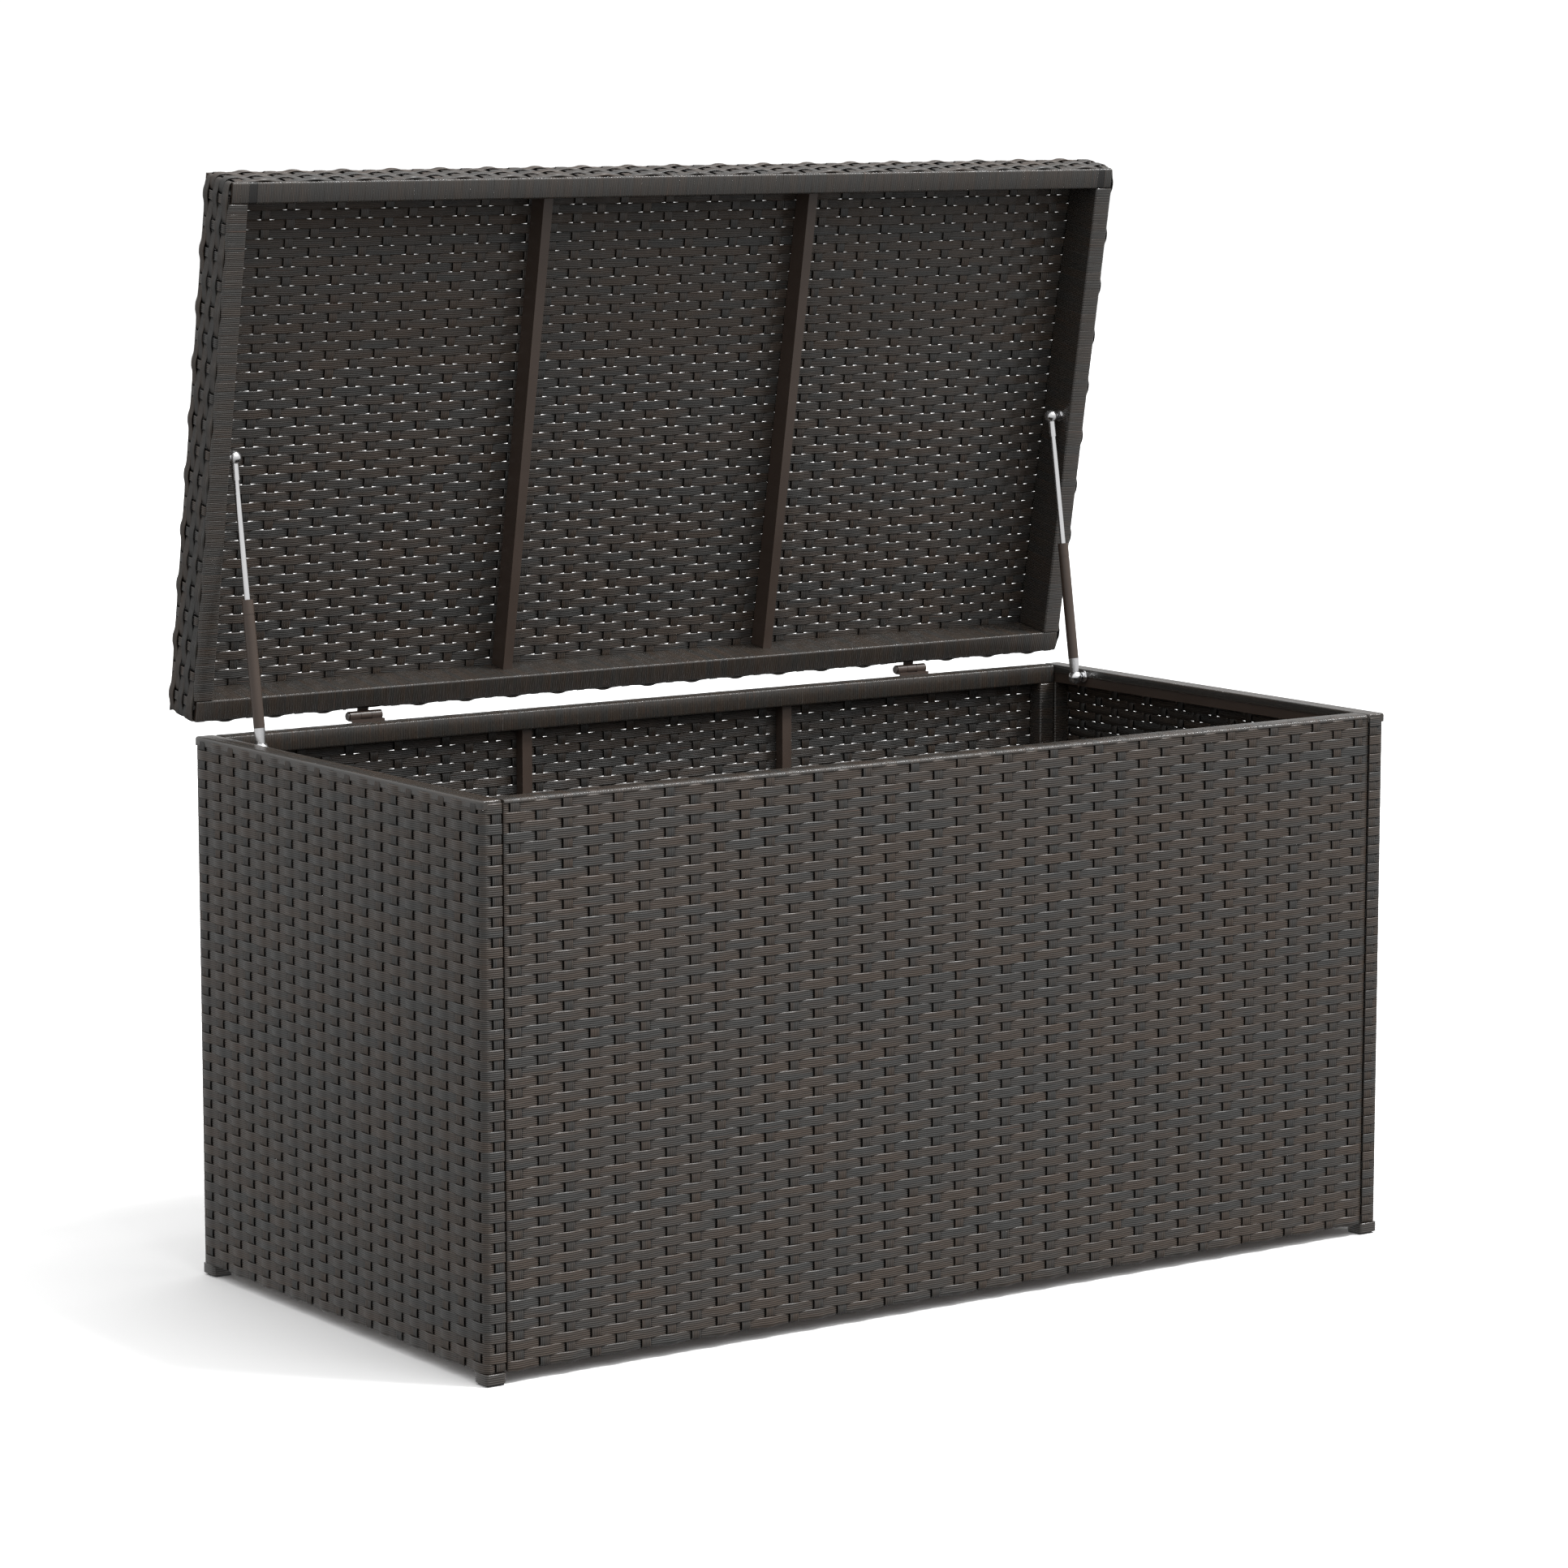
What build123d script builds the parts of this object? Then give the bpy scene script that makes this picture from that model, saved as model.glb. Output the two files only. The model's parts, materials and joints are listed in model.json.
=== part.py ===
"""Deck storage box: woven skins on a welded tube frame, with a hinged lid on two gas struts.

The frame is millimetres with +Z up. The origin is the centre of the footprint on the floor, the front faces -Y,
and the lid stands open at its stop. Lid pieces are drawn on a plane that turns with the lid.
"""

import os
from math import atan2, cos, degrees, hypot, radians, sin

from build123d import *

os.makedirs("parts", exist_ok=True)

# Overall size
box_width = 1200.0
box_depth = 598.0
box_height = 603.0
foot_height = 13.5

# Frame tubes, strip wraps and woven skins
tube = 20.0
tube_wall = 1.2
wrap_thickness = 0.8
weave_thickness = 1.8
weld_gap = 0.1
cut_margin = 1.0
tube_wall_bore = 10.0
panel_gap = 1.2
post_width = 13.0
post_depth = 13.0
post_x = 181.0
base_clearance = 1.0
floor_thickness = 3.0

# Lid
lid_open_angle = 80.0
lid_height = 54.0
lid_seat_gap = 1.0
lid_tube_depth = 50.0
lid_bar_width = 12.0
lid_bar_depth = 25.0
lid_bar_x = 181.0

# Hinges
hinge_y = 308.9
hinge_z = 608.9
hinge_x = 380.0
hinge_length = 42.0
hinge_radius = 5.5
hinge_pin_radius = 2.5
hinge_clearance = 0.05
hinge_side_gap = 0.4
leaf_thickness = 2.0
leaf_height = 24.0
leaf_standoff = 0.3
leaf_screw_x = 13.0
leaf_screw_drop = 17.0
screw_radius = 2.0
screw_hole_radius = 2.2
screw_head_radius = 3.8
screw_head_height = 2.0
screw_length = 14.0
screw_slot_length = 4.0
screw_slot_width = 1.0
pin_head_radius = 4.4
pin_head_height = 1.5
pin_end = 1.0

# Gas struts, measured along each strut from its lower ball centre
strut_x = 562.5
strut_low_y = 218.3
strut_low_z = 594.7
strut_top_reach = 302.1
strut_top_rise = 13.2
ball_radius = 5.0
socket_radius = 8.0
socket_clearance = 0.05
stud_neck_radius = 2.4
stud_hex_radius = 6.0
stud_hex_height = 3.6
stud_washer_radius = 7.0
stud_washer_thickness = 2.0
stud_end_x = 588.0
stud_gap = 0.3
socket_mouth_radius = 3.4
socket_neck_radius = 5.0
socket_neck_start = 4.0
collar_start = 5.0
strut_tube_start = 23.0
strut_tube_length = 140.0
strut_tube_radius = 6.25
strut_tube_wall = 1.0
strut_cap = 3.0
guide_length = 8.0
crimp_drop = 17.0
crimp_width = 1.2
crimp_depth = 0.4
rod_radius = 3.2
rod_clearance = 0.05
piston_length = 7.0
piston_play = 0.5
rod_grip = 6.0
sleeve_length = 20.0
sleeve_radius = 4.2

# Fasteners
bolt_radius = 3.0
bolt_hole_radius = 3.4
bolt_head_radius = 5.0
bolt_head_height = 3.5
bolt_washer_radius = 6.5
bolt_washer_thickness = 1.2
washer_hole_radius = 7.0
hex_key_radius = 2.3
bolt_end_x = 588.0
bolt_levels = (110.0, 430.0)
nut_radius = 4.5
nut_hole_radius = 5.5
nut_length = 9.0
base_screw_x = (-400.0, 400.0)
base_screw_length = 31.0
base_bore_length = 30.0
plug_head = 2.0
plug_depth = 15.0
plug_clearance = 0.2
plug_head_rounding = 1.5
plug_rounding = 1.0

# Derived planes of the walls
half_width = box_width / 2
half_depth = box_depth / 2
skin = weave_thickness + wrap_thickness
tube_outer_x = half_width - skin
tube_inner_x = tube_outer_x - tube
tube_outer_y = half_depth - skin
tube_inner_y = tube_outer_y - tube
wall_inner_x = tube_inner_x - wrap_thickness
wall_inner_y = tube_inner_y - wrap_thickness
rail_top = box_height - wrap_thickness
rail_bottom = rail_top - tube
base_rail_bottom = foot_height + wrap_thickness
base_rail_top = base_rail_bottom + tube
panel_end_x = wall_inner_x - panel_gap
stile_outer_x = panel_end_x - wrap_thickness
stile_inner_x = stile_outer_x - tube
leg_middle_x = (tube_inner_x + tube_outer_x) / 2
leg_middle_y = (tube_inner_y + tube_outer_y) / 2

# The lid's own frame: origin on the hinge axis, Y towards the back and Z up when the lid is shut
open_angle = radians(lid_open_angle)
lid_frame_plane = Plane(
    origin=(0, hinge_y, hinge_z), x_dir=(1, 0, 0), z_dir=(0, sin(open_angle), cos(open_angle))
)
lid_back = half_depth - hinge_y
lid_front = lid_back - box_depth
lid_rim = box_height + lid_seat_gap - hinge_z
lid_top = lid_rim + lid_height
lid_tube_low = lid_rim + wrap_thickness
lid_tube_high = lid_tube_low + lid_tube_depth
lid_cavity_top = lid_tube_high + wrap_thickness
lid_tube_front = lid_front + skin
lid_tube_back = lid_back - skin

# The struts' line at the open stop
top_ball = lid_frame_plane.from_local_coords(Vector(0, -strut_top_reach, strut_top_rise))
strut_rise = top_ball.Z - strut_low_z
strut_run = top_ball.Y - strut_low_y
strut_length = hypot(strut_run, strut_rise)
strut_direction = Vector(0, strut_run / strut_length, strut_rise / strut_length)
strut_tube_end = strut_tube_start + strut_tube_length
sleeve_start = strut_length - collar_start - sleeve_length


def save(part, name):
    """Label a finished sub-part and write it as its own STEP file."""
    part.label = name
    export_step(part, f"parts/{name}.step")


def block(frame, low, high, mode=Mode.ADD):
    """A rectangular block between two corners given in a frame's own axes."""
    with BuildSketch(frame.offset(low[2])) as section:
        with Locations(((low[0] + high[0]) / 2, (low[1] + high[1]) / 2)):
            Rectangle(high[0] - low[0], high[1] - low[1])
    extrude(section.sketch, amount=high[2] - low[2], mode=mode)


def hollow_block(frame, low, high, along, wall):
    """A rectangular tube between two corners, open at both ends along one axis."""
    block(frame, low, high)
    inner_low = [low[i] if i == along else low[i] + wall for i in range(3)]
    inner_high = [high[i] if i == along else high[i] - wall for i in range(3)]
    block(frame, inner_low, inner_high, mode=Mode.SUBTRACT)


def round_bar(plane, radius, length, mode=Mode.ADD):
    """A round bar that starts at a plane's origin and runs along its normal."""
    with BuildSketch(plane) as section:
        Circle(radius)
    extrude(section.sketch, amount=length, mode=mode)


def x_plane(side, x, y, z):
    """A plane facing outwards along X on the given side, at a distance x from the middle."""
    return Plane(origin=(side * x, y, z), x_dir=(0, side, 0), z_dir=(side, 0, 0))


def y_plane(x, y, z, facing):
    """A plane facing along +Y or -Y."""
    return Plane(origin=(x, y, z), x_dir=(1, 0, 0), z_dir=(0, facing, 0))


def strut_plane(side, distance):
    """A plane square to a strut, at a distance along it from its lower ball."""
    foot = Vector(side * strut_x, strut_low_y, strut_low_z)
    return Plane(origin=foot + strut_direction * distance, x_dir=(1, 0, 0), z_dir=strut_direction)


def grown(low, high, along, amount):
    """Two corners moved apart by an amount on the two axes across a tube."""
    wide_low = [low[i] if i == along else low[i] - amount for i in range(3)]
    wide_high = [high[i] if i == along else high[i] + amount for i in range(3)]
    return wide_low, wide_high


def end_tubes(side):
    """The tubes of an end frame as (low corner, high corner, axis)."""
    near, far = sorted((side * tube_inner_x, side * tube_outer_x))
    leg_top = rail_bottom - weld_gap
    rung_y = tube_inner_y - weld_gap
    return {
        "front_leg": ((near, -tube_outer_y, plug_head), (far, -tube_inner_y, leg_top), 2),
        "back_leg": ((near, tube_inner_y, plug_head), (far, tube_outer_y, leg_top), 2),
        "top_rail": ((near, -tube_outer_y, rail_bottom), (far, tube_outer_y, rail_top), 1),
        "bottom_rail": ((near, -rung_y, base_rail_bottom), (far, rung_y, base_rail_top), 1),
    }


def panel_tubes(side):
    """The tubes of the front or back frame as (low corner, high corner, axis)."""
    near, far = sorted((side * tube_inner_y, side * tube_outer_y))
    low_z = base_rail_top + weld_gap
    high_z = rail_bottom - weld_gap
    tubes = {
        "top_rail": ((-stile_outer_x, near, rail_bottom), (stile_outer_x, far, rail_top), 0),
        "bottom_rail": ((-stile_outer_x, near, base_rail_bottom), (stile_outer_x, far, base_rail_top), 0),
    }
    for name, x_low in (("left_stile", -stile_outer_x), ("right_stile", stile_inner_x)):
        tubes[name] = ((x_low, near, low_z), (x_low + tube, far, high_z), 2)
    return tubes


def panel_posts(side):
    """The two bare upright posts of the front or back frame, set against the skin, in the same form."""
    post_near, post_far = sorted((side * (tube_outer_y - post_depth), side * tube_outer_y))
    low_z = base_rail_top + weld_gap
    high_z = rail_bottom - weld_gap
    for x in (-post_x, post_x):
        corner = (x - post_width / 2, post_near, low_z)
        far_corner = (x + post_width / 2, post_far, high_z)
        yield corner, far_corner, 2


def wall_bolt_planes(x):
    """Planes facing outwards at each of the eight wall bolts, at a distance x from the middle."""
    for side in (-1, 1):
        for y in (-leg_middle_y, leg_middle_y):
            for z in bolt_levels:
                yield x_plane(side, x, y, z)


def base_screw_planes():
    """Planes facing outwards at each screw that holds the base to the front and back walls."""
    start_y = tube_inner_y - wrap_thickness - base_clearance - tube
    middle_z = base_rail_bottom + tube / 2
    for facing in (-1, 1):
        for x in base_screw_x:
            yield y_plane(x, facing * start_y, middle_z, facing)


def hinge_screw_planes():
    """Planes facing forwards at each body hinge screw, on the outside of the leaf."""
    for side in (-1, 1):
        for offset in (-leaf_screw_x, leaf_screw_x):
            x = side * hinge_x + offset
            yield y_plane(x, half_depth + leaf_standoff + leaf_thickness, hinge_z - leaf_screw_drop, -1)


def lid_screw_planes():
    """Planes facing into the lid at each lid hinge screw, on the outside of the leaf."""
    for side in (-1, 1):
        for offset in (-leaf_screw_x, leaf_screw_x):
            local = Vector(side * hinge_x + offset, lid_back + leaf_standoff + leaf_thickness, leaf_screw_drop)
            origin = lid_frame_plane.from_local_coords(local)
            yield Plane(origin=origin, x_dir=(1, 0, 0), z_dir=-lid_frame_plane.y_dir)


def cut_bores(planes, radius, length):
    """Round clearance holes along a set of planes."""
    for plane in planes:
        round_bar(plane, radius, length, mode=Mode.SUBTRACT)


def wrap_tubes(frame, wrapped, tubes):
    """Thin sleeves round the wrapped tubes, with every tube that lies in or meets them cut out."""
    for low, high, along in wrapped:
        block(frame, *grown(low, high, along, wrap_thickness))
    for low, high, along in tubes:
        block(frame, low, high, mode=Mode.SUBTRACT)


def wrapped_lengths(tubes, names):
    """The named tubes with each upright stopped below the sleeve of the rail above it."""
    for name in names:
        low, high, along = tubes[name]
        top = rail_bottom - wrap_thickness - weld_gap if along == 2 else high[2]
        yield low, (high[0], high[1], top), along


# End frames and the strips wrapped round them
for side, side_name in ((-1, "left"), (1, "right")):
    stud_foot = x_plane(side, panel_end_x, strut_low_y, strut_low_z)
    with BuildPart() as end_frame:
        for low, high, along in end_tubes(side).values():
            hollow_block(Plane.XY, low, high, along, tube_wall)
        cut_bores(wall_bolt_planes(wall_inner_x), nut_radius, tube_wall_bore)
        cut_bores([stud_foot], bolt_hole_radius, tube_wall_bore)
    save(end_frame.part, f"{side_name}_end_frame")

    with BuildPart() as end_wrap:
        tubes = end_tubes(side)
        wrapped = wrapped_lengths(tubes, ("front_leg", "back_leg", "top_rail"))
        wrap_tubes(Plane.XY, wrapped, tubes.values())
        cut_bores(wall_bolt_planes(panel_end_x), nut_hole_radius, tube_wall_bore)
        cut_bores([stud_foot], bolt_hole_radius, tube_wall_bore)
    save(end_wrap.part, f"{side_name}_end_wrap")

# Front and back frames with their posts, and the strips wrapped round their rails and stiles
stile_bore_x = stile_inner_x - cut_margin
stile_bore_length = tube + 2 * cut_margin
for side, side_name in ((-1, "front"), (1, "back")):
    with BuildPart() as panel_frame:
        for low, high, along in (*panel_tubes(side).values(), *panel_posts(side)):
            hollow_block(Plane.XY, low, high, along, tube_wall)
        cut_bores(wall_bolt_planes(stile_bore_x), bolt_hole_radius, stile_bore_length)
        cut_bores(base_screw_planes(), bolt_hole_radius, base_bore_length)
        cut_bores(hinge_screw_planes(), screw_hole_radius, screw_length)
    save(panel_frame.part, f"{side_name}_frame")

    with BuildPart() as panel_wrap:
        tubes = panel_tubes(side)
        wrapped = wrapped_lengths(tubes, ("top_rail", "left_stile", "right_stile"))
        wrap_tubes(Plane.XY, wrapped, (*tubes.values(), *panel_posts(side)))
        cut_bores(wall_bolt_planes(stile_bore_x), washer_hole_radius, stile_bore_length)
        cut_bores(hinge_screw_planes(), screw_hole_radius, screw_length)
    save(panel_wrap.part, f"{side_name}_wrap")

# Woven skins of the four walls; each end skin turns round the faces of its two legs
for side, side_name in ((-1, "left"), (1, "right")):
    near, far = sorted((side * (half_width - weave_thickness), side * half_width))
    turn_near, turn_far = sorted((side * wall_inner_x, side * (half_width - weave_thickness - weld_gap)))
    with BuildPart() as end_weave:
        block(Plane.XY, (near, -half_depth, foot_height), (far, half_depth, box_height))
        for facing in (-1, 1):
            low_y, high_y = sorted((facing * (half_depth - weave_thickness), facing * half_depth))
            block(Plane.XY, (turn_near, low_y, plug_head), (turn_far, high_y, box_height))
    save(end_weave.part, f"{side_name}_weave")

for side, side_name in ((-1, "front"), (1, "back")):
    near, far = sorted((side * (half_depth - weave_thickness), side * half_depth))
    with BuildPart() as panel_weave:
        block(Plane.XY, (-panel_end_x, near, foot_height), (panel_end_x, far, box_height))
        cut_bores(hinge_screw_planes(), screw_hole_radius, screw_length)
    save(panel_weave.part, f"{side_name}_weave")

# Base frame and woven floor
base_x = wall_inner_x - base_clearance
base_y = wall_inner_y - base_clearance
with BuildPart() as base_frame:
    for facing in (-1, 1):
        near, far = sorted((facing * (base_y - tube), facing * base_y))
        low = (-base_x, near, base_rail_bottom)
        hollow_block(Plane.XY, low, (base_x, far, base_rail_top), 0, tube_wall)
    rung_y = base_y - tube - weld_gap
    for x in (-base_x + tube / 2, -post_x, post_x, base_x - tube / 2):
        low = (x - tube / 2, -rung_y, base_rail_bottom)
        hollow_block(Plane.XY, low, (x + tube / 2, rung_y, base_rail_top), 1, tube_wall)
    cut_bores(base_screw_planes(), bolt_hole_radius, base_bore_length)
save(base_frame.part, "base_frame")

floor_x = stile_inner_x - wrap_thickness - base_clearance
with BuildPart() as floor_weave:
    low = (-floor_x, -base_y, base_rail_top)
    block(Plane.XY, low, (floor_x, base_y, base_rail_top + floor_thickness))
save(floor_weave.part, "floor_weave")

# Plugs that close the leg tubes and stand on the floor
plug_size = tube - 2 * tube_wall - 2 * plug_clearance
with BuildPart() as foot_plugs:
    with BuildSketch(Plane.XY):
        with GridLocations(2 * leg_middle_x, 2 * leg_middle_y, 2, 2):
            RectangleRounded(tube, tube, plug_head_rounding)
    extrude(amount=plug_head)
    with BuildSketch(Plane.XY.offset(plug_head)):
        with GridLocations(2 * leg_middle_x, 2 * leg_middle_y, 2, 2):
            RectangleRounded(plug_size, plug_size, plug_rounding)
    extrude(amount=plug_depth)
save(foot_plugs.part, "foot_plugs")

# Bolts, washers and rivet nuts that join the walls
washer_x = stile_inner_x - bolt_washer_thickness
head_x = washer_x - bolt_head_height
with BuildPart() as wall_bolts:
    for plane in wall_bolt_planes(head_x):
        round_bar(plane, bolt_head_radius, bolt_head_height)
        round_bar(plane, bolt_radius, bolt_end_x - head_x)
        with BuildSketch(plane):
            RegularPolygon(hex_key_radius, 6)
        extrude(amount=bolt_head_height / 2, mode=Mode.SUBTRACT)
save(wall_bolts.part, "wall_bolts")

with BuildPart() as wall_bolt_washers:
    for plane in wall_bolt_planes(washer_x):
        round_bar(plane, bolt_washer_radius, bolt_washer_thickness)
        round_bar(plane, bolt_hole_radius, bolt_washer_thickness, mode=Mode.SUBTRACT)
save(wall_bolt_washers.part, "wall_bolt_washers")

with BuildPart() as rivet_nuts:
    for plane in wall_bolt_planes(wall_inner_x):
        round_bar(plane, nut_radius, nut_length)
        round_bar(plane, bolt_radius, nut_length, mode=Mode.SUBTRACT)
save(rivet_nuts.part, "rivet_nuts")

with BuildPart() as base_screws:
    for plane in base_screw_planes():
        round_bar(plane.offset(-bolt_head_height), bolt_head_radius, bolt_head_height)
        round_bar(plane, bolt_radius, base_screw_length)
        with BuildSketch(plane.offset(-bolt_head_height)):
            RegularPolygon(hex_key_radius, 6)
        extrude(amount=bolt_head_height / 2, mode=Mode.SUBTRACT)
save(base_screws.part, "base_screws")

# Hinges. A leaf is a plate, a web and one or two knuckles, drawn as a section and run along the hinge axis.
hinge_section = Plane(origin=(0, hinge_y, hinge_z), x_dir=(0, 1, 0), z_dir=(1, 0, 0))
lid_hinge_section = Plane(origin=(0, hinge_y, hinge_z), x_dir=lid_frame_plane.y_dir, z_dir=(1, 0, 0))
leaf_near = half_depth + leaf_standoff - hinge_y
leaf_edge = hinge_radius - leaf_thickness
knuckle = hinge_length / 3


def leaf(section, facing, knuckles, bore):
    """One hinge leaf of each hinge; facing is +1 for a plate above the axis and -1 for one below."""
    for side in (-1, 1):
        start = side * hinge_x - hinge_length / 2
        plate_middle = facing * (leaf_edge + leaf_height / 2)
        with BuildSketch(section.offset(start)) as plate:
            with Locations((leaf_near + leaf_thickness / 2, plate_middle)):
                Rectangle(leaf_thickness, leaf_height)
        extrude(plate.sketch, amount=hinge_length)
        for index in knuckles:
            low = start + index * knuckle + hinge_side_gap / 2
            with BuildSketch(section.offset(low)) as knuckle_face:
                Circle(hinge_radius)
                with Locations((leaf_near / 2, facing * (leaf_edge + leaf_thickness / 2))):
                    Rectangle(-leaf_near, leaf_thickness)
                Circle(bore, mode=Mode.SUBTRACT)
            extrude(knuckle_face.sketch, amount=knuckle - hinge_side_gap)


with BuildPart() as hinge_body_leaves:
    leaf(hinge_section, -1, (0, 2), hinge_pin_radius)
    cut_bores(hinge_screw_planes(), screw_hole_radius, leaf_thickness)
save(hinge_body_leaves.part, "hinge_body_leaves")

with BuildPart() as hinge_lid_leaves:
    leaf(lid_hinge_section, 1, (1,), hinge_pin_radius + hinge_clearance)
    cut_bores(lid_screw_planes(), screw_hole_radius, leaf_thickness)
save(hinge_lid_leaves.part, "hinge_lid_leaves")

with BuildPart() as hinge_pins:
    for side in (-1, 1):
        start = side * hinge_x - hinge_length / 2
        round_bar(hinge_section.offset(start), hinge_pin_radius, hinge_length + pin_end)
        round_bar(hinge_section.offset(start - pin_head_height), pin_head_radius, pin_head_height)
save(hinge_pins.part, "hinge_pins")

for screw_planes, name in ((hinge_screw_planes, "hinge_body_screws"), (lid_screw_planes, "hinge_lid_screws")):
    with BuildPart() as hinge_screws:
        for plane in screw_planes():
            round_bar(plane, screw_radius, screw_length)
            round_bar(plane.offset(-screw_head_height), screw_head_radius, screw_head_height)
            slot_plane = plane.offset(-screw_head_height)
            with BuildSketch(slot_plane):
                Rectangle(screw_slot_length, screw_slot_width)
                Rectangle(screw_slot_width, screw_slot_length)
            extrude(amount=screw_head_height / 2, mode=Mode.SUBTRACT)
    save(hinge_screws.part, name)

# Lid: rectangular tubes on edge, two bars across, strip wraps, and the woven top and edges
lid_side_front = lid_tube_front + tube + wrap_thickness + weld_gap
lid_side_back = lid_tube_back - tube - wrap_thickness - weld_gap
lid_tubes = {
    "front_tube": (
        (-tube_outer_x, lid_tube_front, lid_tube_low),
        (tube_outer_x, lid_tube_front + tube, lid_tube_high),
        0,
    ),
    "back_tube": (
        (-tube_outer_x, lid_tube_back - tube, lid_tube_low),
        (tube_outer_x, lid_tube_back, lid_tube_high),
        0,
    ),
}
for side, side_name in ((-1, "left"), (1, "right")):
    near, far = sorted((side * tube_inner_x, side * tube_outer_x))
    low = (near, lid_side_front, lid_tube_low)
    lid_tubes[f"{side_name}_tube"] = (low, (far, lid_side_back, lid_tube_high), 1)

lid_sleeves = dict(lid_tubes)
for name in ("left_tube", "right_tube"):
    low, high, along = lid_tubes[name]
    low = (low[0], low[1] + weld_gap, low[2])
    lid_sleeves[name] = (low, (high[0], high[1] - weld_gap, high[2]), along)

lid_bars = {}
for side, side_name in ((-1, "left"), (1, "right")):
    low = (side * lid_bar_x - lid_bar_width / 2, lid_side_front, lid_cavity_top - lid_bar_depth)
    high = (side * lid_bar_x + lid_bar_width / 2, lid_side_back, lid_cavity_top)
    lid_bars[f"lid_bar_{side_name}"] = (low, high, 1)

top_studs = [x_plane(side, panel_end_x, top_ball.Y, top_ball.Z) for side in (-1, 1)]

with BuildPart() as lid_frame:
    for low, high, along in lid_tubes.values():
        hollow_block(lid_frame_plane, low, high, along, tube_wall)
    cut_bores(top_studs, bolt_hole_radius, tube_wall_bore)
    cut_bores(lid_screw_planes(), screw_hole_radius, screw_length)
save(lid_frame.part, "lid_frame")

for name, (low, high, along) in lid_bars.items():
    with BuildPart() as lid_bar:
        hollow_block(lid_frame_plane, low, high, along, tube_wall)
    save(lid_bar.part, name)

with BuildPart() as lid_rim_wrap:
    wrap_tubes(lid_frame_plane, lid_sleeves.values(), lid_tubes.values())
    cut_bores(top_studs, bolt_hole_radius, tube_wall_bore)
    cut_bores(lid_screw_planes(), screw_hole_radius, screw_length)
save(lid_rim_wrap.part, "lid_rim_wrap")

with BuildPart() as lid_top_weave:
    low = (-half_width, lid_front, lid_cavity_top)
    block(lid_frame_plane, low, (half_width, lid_back, lid_top))
save(lid_top_weave.part, "lid_top_weave")

with BuildPart() as lid_edge_weave:
    low = (-half_width, lid_front, lid_rim)
    block(lid_frame_plane, low, (half_width, lid_back, lid_cavity_top))
    low = (weave_thickness - half_width, lid_front + weave_thickness, lid_rim)
    high = (half_width - weave_thickness, lid_back - weave_thickness, lid_cavity_top)
    block(lid_frame_plane, low, high, mode=Mode.SUBTRACT)
    cut_bores(lid_screw_planes(), screw_hole_radius, screw_length)
save(lid_edge_weave.part, "lid_edge_weave")


def ball_place(side, y, z):
    """Where a ball sits, turned so that its surface seam faces away from the wall and the stud."""
    return Location((side * strut_x, y, z), (0, 0, 90 + 90 * side))


def ball_stud(side, y, z, back_x, end_x):
    """A ball on a neck and a hexagon; the thread runs on outwards where end_x lies past the hexagon."""
    with Locations(ball_place(side, y, z)):
        Sphere(ball_radius)
    hex_x = back_x - stud_hex_height
    round_bar(x_plane(side, strut_x, y, z), stud_neck_radius, hex_x - strut_x)
    with BuildSketch(x_plane(side, hex_x, y, z)) as hexagon:
        RegularPolygon(stud_hex_radius, 6)
    extrude(hexagon.sketch, amount=stud_hex_height)
    if end_x > back_x:
        round_bar(x_plane(side, back_x, y, z), bolt_radius, end_x - back_x)


def ball_socket(side, y, z):
    """A round end socket hollowed for its ball and open towards the wall."""
    with Locations(ball_place(side, y, z)):
        Sphere(socket_radius)
        Sphere(ball_radius + socket_clearance, mode=Mode.SUBTRACT)
    mouth = x_plane(side, strut_x, y, z)
    round_bar(mouth, socket_mouth_radius, socket_radius, mode=Mode.SUBTRACT)


# Ball studs and their washers
washer_face_x = wall_inner_x - stud_washer_thickness
with BuildPart() as lower_ball_studs:
    for side in (-1, 1):
        ball_stud(side, strut_low_y, strut_low_z, washer_face_x, stud_end_x)
save(lower_ball_studs.part, "lower_ball_studs")

with BuildPart() as lower_stud_washers:
    for side in (-1, 1):
        plane = x_plane(side, washer_face_x, strut_low_y, strut_low_z)
        round_bar(plane, stud_washer_radius, stud_washer_thickness)
        round_bar(plane, bolt_radius, stud_washer_thickness, mode=Mode.SUBTRACT)
save(lower_stud_washers.part, "lower_stud_washers")

with BuildPart() as upper_stud_plates:
    for side in (-1, 1):
        plane = x_plane(side, washer_face_x, top_ball.Y, top_ball.Z)
        round_bar(plane, stud_washer_radius, stud_washer_thickness)
        round_bar(plane, bolt_radius, stud_end_x - washer_face_x)
save(upper_stud_plates.part, "upper_stud_plates")

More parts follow.
